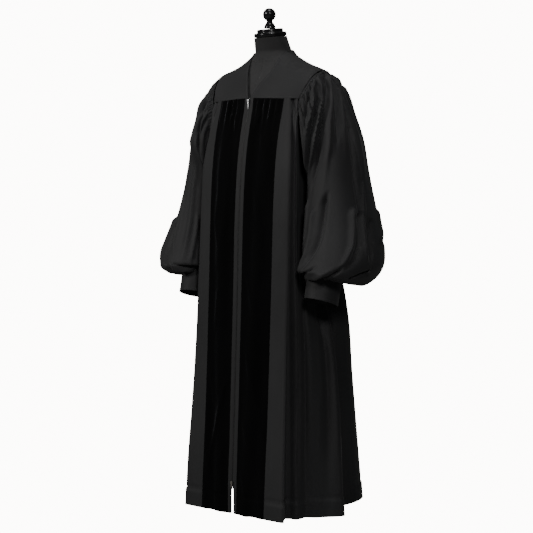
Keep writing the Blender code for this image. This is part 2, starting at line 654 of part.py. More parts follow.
# The front side panels: a flat pleat, its return, the narrow fold and the rolled side fold
def side_grid():
    names = list(SIDE_LINES)
    lines = [fall(SIDE_LINES[name]) for name in names]
    grid = []
    for i, share in enumerate(FALL_ROWS):
        top = seam_z(VELVET_EDGE_X) - SEAM
        z = top + (HEM_Z - top) * share
        pleat_x = column(FRONT_LINE, 3, z)
        edge_y = front_y(pleat_x, z)
        row = [(x, front_y(x, z), z) for x in
               (VELVET_EDGE_X + SEAM, (VELVET_EDGE_X + pleat_x) / 2, pleat_x - 0.0022)]
        row.append((pleat_x, edge_y + 0.0018, z))
        row.append((pleat_x - 0.0030, edge_y + 0.0048, z))
        rest = spline([line[i] for line in lines], shares(17))
        grid.append(np.vstack([row, rest]))
    return under_seam(np.array(grid))


side = side_grid()
pair("front_side", side, CLOTH, cloth, square=flat_ends + [(slice(None), 0, 0)])


# The back, one panel a side with a seam down its middle
def back_grid():
    lines = [fall(points) for points in BACK_LINES.values()]
    grid = [spline([line[i] for line in lines], shares(23)) for i in range(len(FALL_ROWS))]
    return under_seam(np.array(grid))


back = back_grid()
toward = back[:, 1] - back[:, 0]
toward /= np.linalg.norm(toward, axis=1, keepdims=True)
back[:, 0] += toward * 2 * SEAM
pair("back_panel", back, CLOTH, cloth, square=flat_ends + [(slice(None), -1, 0)])


# The sleeves
def sleeve_ring(row, count):
    """One lower ring of the sleeve, starting at its outer side and going by the front."""
    z, cx, cy, ax, ay, rise, sag = row
    points = []
    for j in range(count):
        turn = math.tau * j / count
        outward, backward = math.cos(turn), -math.sin(turn)
        power = 2 / 2.35
        x = cx + ax * math.copysign(abs(outward) ** power, outward)
        y = cy + ay * math.copysign(abs(backward) ** power, backward)
        points.append((x, y, z + rise * outward - sag * (0.6 * outward + 0.8 * backward)))
    return points


def fold_depth(j, count, row):
    """How far a fold stands out at point j: deep at the head and the cuff, soft between."""
    turn = j / count
    ripple = math.cos(math.tau * SLEEVE_FOLDS * turn + 0.5 * math.sin(math.tau * 2 * turn))
    slow = math.cos(math.tau * 5 * turn + 0.9)
    strength = {0: (0.0, 0.0), 1: (0.0040, 0.0), 2: (0.0055, 0.001), 3: (0.0050, 0.002), 4: (0.0042, 0.003),
                5: (0.0030, 0.0045), 6: (0.0022, 0.0050), 7: (0.0022, 0.0045), 8: (0.0030, 0.003),
                9: (0.0040, 0.002), 10: (0.0036, 0.001), 11: (0.0, 0.0)}[row]
    return strength[0] * ripple + strength[1] * slow


def sleeve_grid():
    count = SLEEVE_POINTS
    rings = [band_end]
    head = even_ring(PUFF, count)
    rings.append((rings[0] + head) / 2 + toward * 0.0050)
    rings.append(head)
    rings.append(even_ring(UPPER_ARM, count))
    for row in SLEEVE_RINGS:
        rings.append(np.array(sleeve_ring(row, count)))
    rings = np.array(rings)
    for i, ring in enumerate(rings):
        middle = ring.mean(axis=0)
        out = ring - middle
        out[:, 2] *= 0.3 if i < 4 else 0.0
        out /= np.linalg.norm(out, axis=1, keepdims=True)
        for j in range(count):
            ring[j] += out[j] * fold_depth(j, count, i)
    end = np.array(cuff_ring(0.0, count))
    middle = end.mean(axis=0)
    lip = middle + (end - middle) * 1.07
    lip[:, 2] += 0.0020
    end[:, 2] += CLOTH / 2 + 2 * SEAM + 0.0006
    return np.concatenate([rings, lip[None], end[None]])


def cuff_ring(share, count):
    """A ring of the cuff, which leans forward and so slopes down towards the back."""
    cx, cy, cz = (a + (b - a) * share for a, b in zip(CUFF_TOP, CUFF_END))
    slope_x, slope_y = (a + (b - a) * share for a, b in zip(CUFF_TOP_SLOPE, CUFF_END_SLOPE))
    flare = 1.0 - 0.03 * share
    points = []
    for j in range(count):
        turn = math.tau * j / count
        x, y = CUFF_HALF_X * flare * math.cos(turn), -CUFF_HALF_Y * flare * math.sin(turn)
        points.append((cx + x, cy + y, cz + slope_x * x + slope_y * y))
    return points


def even_ring(points, count):
    """`count` points evenly spaced round a closed curve, from its first point."""
    fine = spline(points, [k / 600 for k in range(601)], closed=True)
    run = np.concatenate([[0.0], np.cumsum(np.linalg.norm(np.diff(fine, axis=0), axis=1))])
    places = np.arange(count) * run[-1] / count
    return np.array([[np.interp(place, run, fine[:, axis]) for axis in range(3)] for place in places])


def armhole_loop():
    """The edge of the armhole, from the shoulder's tip by the front, the underarm and the back."""
    front = front_yoke[::-1, -1][:-1:2]
    low_front = [side[0, k] for k in range(10, side.shape[1])]
    low_back = [back[0, k] for k in range(1, 9)]
    up_back = [back_yoke[-1, k] for k in range(arm_columns, 0, -1)]
    return [tuple(p) for p in front] + [tuple(p) for p in low_front[::2]] + \
        [tuple(p) for p in low_back[::2]] + [tuple(p) for p in up_back]


seam_ring = even_ring(armhole_loop(), SLEEVE_POINTS)
band_end = even_ring(HEAD_BAND_END, SLEEVE_POINTS)
toward = band_end - seam_ring
toward /= np.linalg.norm(toward, axis=1, keepdims=True)
start = seam_ring + toward * HEAD_GAP + np.array([0.0014, 0.0, 0.0])
head_band = np.array([start, band_end - toward * 3 * SEAM])
sleeve = sleeve_grid()
cuff = np.array([cuff_ring(share, 24) for share in (0.0, 0.5, 1.0)])
pair("sleeve_head", head_band, CLOTH, cloth, closed=True)
pair("sleeve", sleeve, CLOTH, cloth, closed=True)
pair("cuff", cuff, CLOTH, cloth, closed=True)


# The sliders of the two-way zip, each a small block with its pull
def slider(name, z, pull_down, stand_off):
    front = front_y(0.0, z - 0.0100) - CLOTH / 2 - SEAM - stand_off
    half = (0.0042, 0.0022)
    rings = []
    for step, wide, deep in ((0.0, 0.70, 0.8), (0.0015, 1.0, 1.0), (0.0085, 1.0, 1.0), (0.0100, 0.75, 0.8)):
        rings.append([(half[0] * wide * sx, front - half[1] + half[1] * deep * sy, z - step)
                      for sx, sy in ((-1, -1), (1, -1), (1, 1), (-1, 1))])
    stack(name, rings, material(name, BRIGHT_METAL, 0.25, 1.0))
    top = z - 0.0104
    rings = []
    for step, wide in ((0.0, 0.6), (0.0020, 1.0), (pull_down - 0.002, 1.0), (pull_down, 0.6)):
        level = top - step
        depth = front_y(0.0, level) - CLOTH / 2 - SEAM - 0.0032
        rings.append([(0.0032 * wide * sx, depth + 0.0008 * sy, level) for sx, sy in ((-1, -1), (1, -1), (1, 1), (-1, 1))])
    stack(name + "_pull", rings, material(name + "_pull", BRIGHT_METAL, 0.25, 1.0))


slider("zip_slider_top", 1.3000, 0.0200, 0.0012)
slider("zip_slider_bottom", 0.1270, 0.0095, 0.0004)


# The dress form's body and neck
def form_ring(z):
    points = []
    for j in range(FORM_POINTS):
        angle = 360.0 * j / FORM_POINTS
        back = 90 < angle < 270
        x, y, _ = ring_point(FORM_RINGS, z, angle if not back else 180 - angle, back)
        points.append((x, y, z))
    return points


form = [form_ring(row[0]) for row in FORM_RINGS]
neck = []
for j in range(FORM_POINTS):
    turn = math.tau * j / FORM_POINTS
    y = -NECK_TOP_HALF[1] * math.cos(turn)
    neck.append((NECK_TOP_HALF[0] * math.sin(turn), NECK_TOP[1] + y,
                 NECK_TOP[2] + math.tan(math.radians(NECK_TILT_DEG)) * y))
form.append(neck)
stack("form_body", form, material("form_body", BLACK_JERSEY, 0.8))

# The turned cap and finial on the neck
lift = math.radians(NECK_TILT_DEG)
turned("neck_cap", CAP_PROFILE, CAP_STEPS, material("neck_cap", BLACK_LACQUER, 0.15), NECK_TOP, lift)
turned("finial", FINIAL_PROFILE, FINIAL_STEPS, material("finial", BLACK_LACQUER, 0.15), FINIAL_FOOT,
       math.radians(FINIAL_TILT_DEG))

# The pole and the three-armed foot
pole = []
for z in (FOOT_THICK + SEAM, FORM_RINGS[0][0] - SEAM):
    pole.append([(POLE_RADIUS * math.cos(math.tau * j / 20), POLE_RADIUS * math.sin(math.tau * j / 20), z)
                 for j in range(20)])
stack("stand_pole", pole, material("stand_pole", BLACK_METAL, 0.4))

outline = []
spread = math.degrees(math.asin(ARM_HALF_WIDTH / HUB_RADIUS))
for k, (angle, reach) in enumerate(FOOT_ARMS):
    turn = math.radians(angle)
    along = np.array([math.cos(turn), math.sin(turn)])
    side_way = np.array([-math.sin(turn), math.cos(turn)])
    outline.append(HUB_RADIUS * np.array([math.cos(math.radians(angle - spread)),
                                          math.sin(math.radians(angle - spread))]))
    for step in range(7):
        bend = math.radians(-90 + 30 * step)
        outline.append(along * (reach - ARM_HALF_WIDTH + ARM_HALF_WIDTH * math.cos(bend))
                       + side_way * ARM_HALF_WIDTH * math.sin(bend))
    following = FOOT_ARMS[(k + 1) % 3][0] + (360.0 if k == 2 else 0.0)
    for step in range(7):
        place = math.radians(angle + spread + (following - angle - 2 * spread) * step / 7)
        outline.append(HUB_RADIUS * np.array([math.cos(place), math.sin(place)]))
foot = [[(p[0], p[1], z) for p in outline] for z in (0.0, FOOT_THICK)]
stack("stand_foot", foot, material("stand_foot", BLACK_METAL, 0.4))
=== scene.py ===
"""The looks of the clergy robe on its dress form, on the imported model, in metres.

Z is up, the robe's front faces -Y and the wearer's left is +X.
"""
import math

import bpy
import numpy as np
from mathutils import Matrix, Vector


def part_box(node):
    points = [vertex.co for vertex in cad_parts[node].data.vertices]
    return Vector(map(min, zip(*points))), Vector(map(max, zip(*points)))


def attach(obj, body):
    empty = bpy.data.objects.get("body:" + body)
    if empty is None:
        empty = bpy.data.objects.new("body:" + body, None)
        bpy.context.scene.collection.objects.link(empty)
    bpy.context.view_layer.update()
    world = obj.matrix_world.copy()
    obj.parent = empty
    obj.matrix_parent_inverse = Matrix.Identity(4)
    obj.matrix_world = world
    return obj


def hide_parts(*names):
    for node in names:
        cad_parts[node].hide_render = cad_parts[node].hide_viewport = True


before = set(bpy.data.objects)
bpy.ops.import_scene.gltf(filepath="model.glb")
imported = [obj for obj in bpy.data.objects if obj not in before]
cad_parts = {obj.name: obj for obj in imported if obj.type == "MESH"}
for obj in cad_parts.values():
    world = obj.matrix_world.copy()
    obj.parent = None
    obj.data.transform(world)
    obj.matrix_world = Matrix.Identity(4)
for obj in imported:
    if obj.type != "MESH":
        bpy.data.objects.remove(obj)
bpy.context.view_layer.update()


# The tables hold whole numbers, which these turn into metres and shares
def metres(rows):
    """Rows of sizes in metres, from tenths of a millimetre."""
    return [tuple(number / 10000 for number in row) for row in rows]


def creases(rows):
    """Paths of (u, v) with half_width and height, from rows of the two sizes and then u, v of each point.

    The sizes are in tenths of a millimetre, and u and v in thousandths.
    """
    found = []
    for half, height, *path in rows:
        points = [(u / 1000, v / 1000) for u, v in zip(path[::2], path[1::2])]
        found.append((points, half / 10000, height / 10000))
    return found


# The heights of the five lower points of every line of the cloth
LOWER_Z = (0.95, 0.8, 0.68, 0.5, 0.025)


def cloth_line(top, lower):
    """Points x, y, z down a line of the cloth, from tenths of a millimetre; the lower ones are at LOWER_Z."""
    return metres(top) + [(x / 10000, y / 10000, z) for (x, y), z in zip(lower, LOWER_Z)]


# Colours of the scene's materials, linear RGB
CLOTH_COLOUR = (0.0112, 0.0112, 0.0116)
VELVET_COLOUR = (0.0007, 0.0007, 0.0008)
JERSEY_COLOUR = (0.0150, 0.0148, 0.0150)
THREAD_COLOUR = (0.024, 0.024, 0.025)
# The form's seam stitches are near black, far darker than the jersey: painted shade of the seams' grooves, on
# real stitches
SEAM_SHADE_COLOUR = (0.0020, 0.0020, 0.0020)
VELVET_THREAD_COLOUR = (0.010, 0.010, 0.0105)

# The zip's teeth: the height of the first, their pitch, and how far they stay from the slit and the hem
TEETH_TOP = 1.286
TEETH_PITCH = 0.0015
TEETH_CLEAR = 0.004

# The camera, fitted to the photo
CAMERA_TURN_DEG = 36.0
CAMERA_AWAY = 3.96
CAMERA_HEIGHT = 1.057
CAMERA_DOWN_DEG = 4.02
CAMERA_LENS = 36.0 * 1252.0 / 533.0
CAMERA_SHIFT = -(269.0 - 266.5) / 533.0

# The light
BACKDROP_TINT = (1.0, 0.975, 0.93, 1.0)
BACKDROP_GLOW = 12.0
WORLD_LIGHT = 0.06
FLOOR_HALF = 14.0
FLOOR_Z = -0.0005
LIGHTS = [
    # name, place, aim, size, power, colour
    ("key", (-2.0, -4.0, 2.9), (0.0, 0.0, 0.9), (0.7, 1.0), 174.0, (1.0, 0.99, 0.97)),
    ("fill", (2.9, -2.9, 3.0), (0.1, 0.0, 0.9), (0.6, 0.8), 96.0, (1.0, 1.0, 1.0)),
    ("top", (0.3, -0.4, 3.5), (0.1, 0.0, 1.2), (0.8, 0.8), 24.0, (1.0, 1.0, 1.0)),
]

# The flat size each sheet is cut to, as width and length, how it is held, and what it rests on
CUTS = {
    "yoke_front": (0.200, 0.200, "draped", "form_body"),
    "yoke_back": (0.560, 0.240, "draped", "form_body"),
    "front_band": (0.0145, 1.285, "hung", "form_body"),
    "zip_tape": (0.0125, 1.285, "hung", "form_body"),
    "velvet_panel": (0.145, 1.285, "gathered", "form_body"),
    "front_side": (0.400, 1.290, "hung", "form_body"),
    "back_panel": (0.480, 1.310, "gathered", "form_body"),
    "sleeve_head": (0.800, 0.045, "gathered", "form_body"),
    "sleeve": (0.900, 0.640, "gathered", "form_body"),
    "cuff": (0.335, 0.090, "hung", "form_body"),
}

# Sizes of the cloth and its seams
CLOTH = 0.0018
VELVET_CLOTH = 0.0022
SEAM = 0.0003
HEM_Z = 0.025
SLIT_TOP_Z = 0.108
SLIT_HALF = 0.0065

# The front closure
BAND_INNER_X = 0.0022
BAND_OUTER_X = 0.0160
TAPE_HALF_WIDTH = 0.0125
TAPE_THICK = 0.0012

# Yoke and shoulders: height, half width, centre y, depth to the front, depth to the back
YOKE_RINGS = metres([
    # z, half_width, centre_y, front_depth, back_depth
    (12700, 2290, 80, 1170, 1060),
    (13000, 2280, 80, 1115, 1040),
    (13310, 2260, 100, 990, 990),
    (13500, 2200, 130, 910, 925),
    (13720, 2080, 190, 820, 790),
    (13860, 1970, 240, 765, 690),
    (13930, 1800, 270, 760, 640),
    (14110, 1330, 340, 730, 520),
    (14220, 1110, 340, 700, 505),
    (14340, 905, 330, 630, 490),
    (14460, 740, 310, 570, 500),
    (14580, 650, 300, 520, 510),
])

# The armhole seam, as its angle round the yoke rings at each height
YOKE_ARMHOLE = [
    # z, angle_deg
    (1.298, 45.6),
    (1.325, 48.6),
    (1.350, 53.6),
    (1.370, 60.5),
    (1.384, 72.0),
    (1.391, 90.0),
]
YOKE_ARMHOLE_BACK = [
    # z, angle_deg from the back's centre
    (1.298, 45.6),
    (1.325, 48.6),
    (1.350, 53.6),
    (1.370, 61.0),
    (1.384, 73.0),
    (1.391, 90.0),
]
NECK_EDGE = [
    # z, angle_deg
    (1.3065, 0.8),
    (1.331, 3.4),
    (1.372, 9.4),
    (1.397, 15.3),
    (1.420, 25.7),
    (1.437, 40.0),
    (1.450, 60.0),
    (1.458, 90.0),
]
NECK_EDGE_BACK = [
    # z, angle_deg from the back's centre
    (1.454, 0.0),
    (1.455, 30.0),
    (1.457, 60.0),
    (1.458, 90.0),
]

# The yoke seam drops a little from the middle to the armholes
YOKE_SEAM_Z = 1.3040
YOKE_SEAM_DROP = 0.0060
YOKE_CORNER_X = 0.163

# The front's centre line and how far its two seams lie behind it
FRONT_LINE = metres([
    # z, centre_y, velvet_edge_behind, pleat_edge_x, pleat_edge_behind
    (13040, -1025, 165, 1375, 220),
    (12900, -1040, 160, 1400, 225),
    (12600, -1100, 135, 1450, 225),
    (12100, -1230, 110, 1535, 215),
    (11440, -1365, 105, 1620, 190),
    (10830, -1455, 110, 1670, 205),
    (10220, -1515, 115, 1680, 220),
    (9000, -1585, 118, 1690, 230),
    (7770, -1627, 115, 1715, 210),
    (5930, -1705, 110, 1735, 180),
    (4080, -1785, 100, 1780, 140),
    (2230, -1870, 70, 1840, 70),
    (1000, -1930, 30, 1875, 35),
    (250, -1935, 0, 1895, 25),
])
VELVET_EDGE_X = 0.1200

# Lines that fall from the yoke seam or the armhole to the hem, front of the side seam.
# Each is a list of points x, y, z from its top to the hem.
SIDE_LINES = {
    "pleat_return": cloth_line([(1285, -725, 13000), (1410, -870, 12300), (1480, -1060, 11400)],
                               [(1500, -1160), (1510, -1200), (1540, -1230), (1570, -1290), (1670, -1480)]),
    "narrow_start": cloth_line([(1440, -690, 12990), (1500, -840, 12300), (1560, -990, 11400)],
                               [(1545, -1050), (1560, -1100), (1600, -1160), (1660, -1210), (1810, -1380)]),
    "narrow_crest": cloth_line([(1590, -720, 12980), (1645, -850, 12300), (1685, -960, 11400)],
                               [(1690, -990), (1740, -1050), (1810, -1120), (1890, -1180), (1990, -1360)]),
    "narrow_back": cloth_line([(1605, -690, 12700), (1625, -765, 12100), (1640, -830, 11400)],
                              [(1590, -800), (1660, -830), (1800, -920), (1900, -990), (2050, -1200)]),
    "valley": cloth_line([(1600, -680, 12300), (1600, -680, 11900), (1585, -660, 11300)],
                         [(1500, -500), (1560, -540), (1700, -660), (1880, -740), (2080, -980)]),
    "roll_front": cloth_line([(1610, -560, 11900), (1590, -530, 11500), (1560, -470, 10900)],
                             [(1480, -280), (1530, -300), (1790, -400), (2130, -540), (2330, -830)]),
    "roll_crest": cloth_line([(1640, -380, 11600), (1610, -350, 11300), (1555, -260, 10700)],
                             [(1475, -100), (1530, -80), (1860, -120), (2370, -300), (2600, -540)]),
    "sharp_fold": cloth_line([(1675, -190, 11450), (1640, -170, 11250), (1555, -80, 10600)],
                             [(1475, 80), (1530, 130), (1900, 180), (2500, -60), (2930, -140)]),
    "side_seam": cloth_line([(1700, 0, 11400), (1655, 30, 11200), (1555, 120, 10600)],
                            [(1475, 260), (1530, 320), (1850, 360), (2260, 180), (2560, 260)]),
}

# The same for the back, from the side seam to the middle of the back
BACK_LINES = {
    "side_seam": SIDE_LINES["side_seam"],
    "side_valley": cloth_line([(1680, 250, 11450), (1640, 260, 11250), (1550, 330, 10600)],
                              [(1480, 470), (1530, 540), (1790, 600), (1980, 480), (2220, 610)]),
    "side_roll": cloth_line([(1630, 540, 11700), (1610, 560, 11400), (1570, 620, 10700)],
                            [(1540, 720), (1620, 800), (1900, 940), (2110, 900), (2290, 1070)]),
    "side_back": cloth_line([(1600, 740, 12200), (1600, 780, 11700), (1590, 860, 10800)],
                            [(1590, 960), (1680, 1080), (1960, 1280), (2130, 1370), (2320, 1640)]),
    "corner": cloth_line([(1600, 810, 12850), (1610, 890, 12000), (1600, 1010, 10800)],
                         [(1590, 1160), (1670, 1310), (1900, 1590), (1960, 1730), (2130, 2210)]),
    "valley_one": cloth_line([(1380, 880, 12990), (1380, 900, 12000), (1400, 980, 10800)],
                             [(1420, 1120), (1480, 1310), (1560, 1490), (1600, 1760), (1730, 2290)]),
    "crest_one": cloth_line([(1160, 985, 12990), (1180, 1080, 12000), (1210, 1220, 10800)],
                            [(1250, 1390), (1310, 1590), (1370, 1780), (1410, 2080), (1460, 2660)]),
    "valley_two": cloth_line([(920, 1020, 12990), (930, 1040, 12000), (950, 1130, 10800)],
                             [(970, 1270), (990, 1440), (1010, 1600), (1050, 1880), (1080, 2400)]),
    "crest_two": cloth_line([(700, 1075, 12990), (700, 1170, 12000), (700, 1310, 10800)],
                            [(700, 1480), (700, 1690), (700, 1890), (710, 2190), (720, 2780)]),
    "valley_three": cloth_line([(470, 1085, 12990), (460, 1110, 12000), (450, 1200, 10800)],
                               [(430, 1340), (420, 1520), (400, 1690), (390, 1970), (360, 2500)]),
    "crest_three": cloth_line([(240, 1110, 12990), (230, 1200, 12000), (210, 1340, 10800)],
                              [(190, 1500), (170, 1710), (150, 1910), (130, 2210), (100, 2800)]),
    "centre_seam": cloth_line([(4, 1100, 12990), (4, 1180, 12000), (4, 1310, 10800)],
                              [(4, 1470), (4, 1670), (4, 1870), (4, 2170), (4, 2760)]),
}

# How far down each line the rows of points lie, as a share of its height
FALL_ROWS = (0.0, 0.03, 0.08, 0.15, 0.24, 0.34, 0.44, 0.54, 0.66, 0.78, 0.89, 1.0)

# The sleeve, for the wearer's left: the rings below the seam round the armhole.
# Twelve points x, y, z go round from the shoulder's tip by the front, the underarm and the back.
HEAD_BAND_END = metres([
    (2020, 260, 13800), (1950, -300, 13610), (1900, -600, 13330), (1790, -840, 12880), (1775, -840, 12410),
    (1790, -640, 11720), (1820, 50, 11250), (1790, 700, 11520), (1780, 940, 12210), (1800, 990, 12890),
    (1900, 840, 13330), (1960, 680, 13600),
])
PUFF = metres([
    (2240, 280, 13600), (2080, -430, 13380), (2050, -760, 13000), (2020, -970, 12500), (1930, -960, 11950),
    (1850, -680, 11320), (1820, 120, 10920), (1850, 980, 11160), (1940, 1350, 11780), (2050, 1420, 12480),
    (2140, 1240, 13080), (2170, 880, 13420),
])
UPPER_ARM = metres([
    (2500, 300, 13000), (2360, -480, 12750), (2270, -780, 12350), (2210, -1030, 11850),
    (2020, -1010, 11320), (1870, -680, 10900), (1800, 200, 10670), (1870, 1060, 10820),
    (2040, 1520, 11270), (2260, 1680, 11800), (2320, 1360, 12380), (2430, 960, 12780),
])
SLEEVE_RINGS = metres([
    # z, centre_x, centre_y, half_width_x, half_width_y, rise_outside, sag_outside_and_back
    (11050, 2280, 340, 650, 1130, 750, 0),
    (10100, 2410, 380, 790, 1240, 300, 0),
    (9200, 2560, 330, 910, 1360, 100, 0),
    (8450, 2720, 210, 1000, 1490, 0, 40),
    (7950, 2770, 0, 1020, 1500, 0, 100),
    (7660, 2720, -220, 940, 1380, 0, 160),
    (7525, 2620, -360, 780, 1000, 0, 220),
    (7605, 2500, -480, 610, 680, 0, 105),
])
CUFF_TOP = (0.2460, -0.0500, 0.7680)
CUFF_END = (0.2450, -0.0700, 0.6840)
CUFF_TOP_SLOPE = (0.0, -0.12)
CUFF_END_SLOPE = (-0.07, -0.31)
CUFF_HALF_X = 0.0495
CUFF_HALF_Y = 0.0560
SLEEVE_POINTS = 40
HEAD_GAP = 0.0036

# The form under the robe: height, half width, centre y, depth to the front, depth to the back
FORM_RINGS = metres([
    # z, half_width, centre_y, front_depth, back_depth
    (8000, 1160, 60, 830, 850),
    (8250, 1330, 60, 950, 980),
    (9100, 1400, 60, 1030, 1060),
    (10300, 1190, 60, 900, 900),
    (11300, 1290, 60, 980, 950),
    (12300, 1440, 80, 1060, 980),
    (12950, 1580, 80, 1050, 975),
    (13350, 1690, 110, 910, 900),
    (13660, 1700, 170, 760, 770),
    (13870, 1690, 250, 700, 620),
    (13960, 1650, 270, 690, 580),
    (14110, 1280, 340, 685, 480),
    (14220, 1065, 340, 655, 465),
    (14340, 862, 330, 585, 450),
    (14460, 695, 290, 520, 460),
    (14530, 635, 270, 495, 470),
    (14620, 605, 220, 490, 520),
    (14800, 565, 150, 505, 520),
])
FORM_POINTS = 24
NECK_TILT_DEG = 8.0
FINIAL_TILT_DEG = 3.5
NECK_TOP = (0.0, 0.008, 1.5000)
FINIAL_FOOT = (0.0, 0.0045, 1.5268)
NECK_TOP_HALF = (0.0520, 0.0500)

# The turned cap on the neck, as radius and height above the neck's top, and the finial above its foot
CAP_PROFILE = metres([
    (0, 250), (330, 250), (395, 238), (412, 205), (412, 160), (430, 140), (480, 136), (508, 115),
    (515, 80), (510, 35), (490, 8), (0, 8),
])
FINIAL_PROFILE = metres([
    (0, 622), (62, 612), (120, 582), (170, 532), (198, 472), (204, 416), (194, 350), (165, 292),
    (122, 246), (90, 218), (92, 195), (116, 160), (150, 110), (174, 60), (184, 15), (184, 0), (0, 0),
])


def curve(rows, at):
    """The value at `at` of a smooth curve through rows of (x, value), with no overshoot."""
    rows = sorted(rows)
    xs = [row[0] for row in rows]
    ys = [row[1] for row in rows]
    if at <= xs[0]:
        return ys[0]
    if at >= xs[-1]:
        return ys[-1]
    count = len(xs)
    slopes = [(ys[i + 1] - ys[i]) / (xs[i + 1] - xs[i]) for i in range(count - 1)]
    tangents = [slopes[0]]
    for i in range(1, count - 1):
        if slopes[i - 1] * slopes[i] <= 0:
            tangents.append(0.0)
        else:
            tangents.append(2 * slopes[i - 1] * slopes[i] / (slopes[i - 1] + slopes[i]))
    tangents.append(slopes[-1])
    i = next(k for k in range(count - 1) if at <= xs[k + 1])
    width = xs[i + 1] - xs[i]
    t = (at - xs[i]) / width
    low = (2 * t ** 3 - 3 * t ** 2 + 1) * ys[i] + (t ** 3 - 2 * t ** 2 + t) * width * tangents[i]
    high = (3 * t ** 2 - 2 * t ** 3) * ys[i + 1] + (t ** 3 - t ** 2) * width * tangents[i + 1]
    return low + high


def column(table, index, at):
    """A smooth curve through one column of a table whose first column is the height."""
    return curve([(row[0], row[index]) for row in table], at)


def spline(points, shares, closed=False):
    """Points at the given shares of a Catmull-Rom curve through `points`."""
    points = np.asarray(points, float)
    count = len(points)
    spans = count if closed else count - 1
    found = []
    for share in shares:
        place = share * spans
        i = min(int(place), spans - 1)
        t = place - i
        if closed:
            p0, p1, p2, p3 = (points[(i + k - 1) % count] for k in range(4))
        else:
            p1, p2 = points[i], points[i + 1]
            p0 = points[i - 1] if i > 0 else 2 * p1 - p2
            p3 = points[i + 2] if i + 2 < count else 2 * p2 - p1
        found.append(0.5 * (2 * p1 + (p2 - p0) * t + (2 * p0 - 5 * p1 + 4 * p2 - p3) * t ** 2
                            + (3 * p1 - p0 - 3 * p2 + p3) * t ** 3))
    return np.array(found)


def shares(count):
    """`count` even steps from 0 to 1."""
    return [i / (count - 1) for i in range(count)]


# Surfaces that several pieces share
def ring_point(table, z, angle, back=False):
    """A point on the ring of a table at height z, by its angle from the front or the back."""
    turn = math.radians(angle)
    middle = column(table, 2, z)
    x = column(table, 1, z) * math.sin(turn)
    if back:
        return (x, middle + column(table, 4, z) * math.cos(turn), z)
    return (x, middle - column(table, 3, z) * math.cos(turn), z)


def seam_z(x):
    """The height of the yoke seam."""
    return YOKE_SEAM_Z - YOKE_SEAM_DROP * min(1.0, abs(x) / YOKE_CORNER_X)


def front_y(x, z):
    """The front of the robe below the yoke, from its middle to the edge of the flat pleat."""
    x = abs(x)
    middle = column(FRONT_LINE, 1, z)
    at_velvet = column(FRONT_LINE, 2, z)
    pleat_x = column(FRONT_LINE, 3, z)
    at_pleat = column(FRONT_LINE, 4, z)
    if x <= VELVET_EDGE_X:
        return middle + at_velvet * (x / VELVET_EDGE_X) ** 2
    share = (x - VELVET_EDGE_X) / (pleat_x - VELVET_EDGE_X)
    return middle + at_velvet + (at_pleat - at_velvet) * share


def gather(x, z):
    """How far the velvet's short gathers stand out below the yoke seam, and its long soft folds."""
    below = seam_z(x) - z
    short = 0.0034 * math.exp(-((below - 0.035) / 0.045) ** 2)
    ripple = math.cos(math.tau * (x - 0.018) / 0.0215)
    fade = min(1.0, below / 0.10)
    across = (x - 0.066) / 0.052
    long_fold = 0.0042 * fade * math.sin(math.pi * (1.35 * across + 0.8 * below))
    edge = max(0.0, 1.0 - across ** 2)
    return edge * (short * ripple + long_fold)


def under_seam(grid):
    """Keep the top row of a grid below the yoke seam."""
    for point in grid[0]:
        point[2] = min(point[2], seam_z(point[0]) - SEAM)
    return grid


def fall(points):
    """Points down one line of the cloth, at the shares in FALL_ROWS of its height."""
    top, low = points[0][2], points[-1][2]
    if top > 1.29:
        top = seam_z(points[0][0]) - SEAM
    found = []
    for share in FALL_ROWS:
        z = top + (low - top) * share
        x = curve([(p[2], p[0]) for p in points], z)
        y = curve([(p[2], p[1]) for p in points], z)
        found.append((x, y, z))
    return found


# Yokes, panels and sleeves as grids of points, as in the solids
SEAM_ANGLE = 89.8


def along(table, t):
    """The row of a (z, angle) table at the share t of its rows."""
    steps = len(table) - 1
    return tuple(curve([(k / steps, row[i]) for k, row in enumerate(table)], t) for i in (0, 1))


def yoke_grid():
    """Rows from the yoke seam up to the shoulder seam, columns from the neck edge to the armhole."""
    neck_start, arm_start = NECK_EDGE[0], YOKE_ARMHOLE[0]
    grid = []
    for t in shares(12):
        neck_z, neck_turn = along(NECK_EDGE, t)
        arm_z, arm_turn = along(YOKE_ARMHOLE, t)
        line = []
        for s in shares(9):
            low_turn = neck_start[1] + (arm_start[1] - neck_start[1]) * s
            low_z = seam_z(ring_point(YOKE_RINGS, YOKE_SEAM_Z, low_turn)[0])
            corner_z = neck_start[0] + (arm_start[0] - neck_start[0]) * s
            z = neck_z + (arm_z - neck_z) * s + (low_z - corner_z) * (1 - t)
            turn = min(SEAM_ANGLE, neck_turn + (arm_turn - neck_turn) * s)
            line.append(ring_point(YOKE_RINGS, z, turn))
        grid.append(line)
    return np.array(grid)


def back_yoke_grid():
    """Rows from the neck edge out to the armhole and the yoke seam, columns from seam to seam."""
    arm_columns, seam_columns = 6, 9
    outer, inner = [], []
    for k in range(arm_columns):
        outer.append(along(YOKE_ARMHOLE_BACK, 1 - k / arm_columns))
    for k in range(seam_columns):
        turn = YOKE_ARMHOLE_BACK[0][1] * (1 - k / (seam_columns - 1))
        outer.append((seam_z(ring_point(YOKE_RINGS, YOKE_SEAM_Z, turn, True)[0]), turn))
    for s in shares(len(outer)):
        inner.append(along(NECK_EDGE_BACK, 1 - s))
    half = []
    for t in shares(8):
        line = []
        for (in_z, in_turn), (out_z, out_turn) in zip(inner, outer):
            turn = min(SEAM_ANGLE, in_turn + (out_turn - in_turn) * t)
            line.append(ring_point(YOKE_RINGS, in_z + (out_z - in_z) * t, turn, True))
        half.append(line)
    half = np.array(half)
    other = half[:, -2::-1] * np.array([-1.0, 1.0, 1.0])
    return np.concatenate([half, other], axis=1), arm_columns


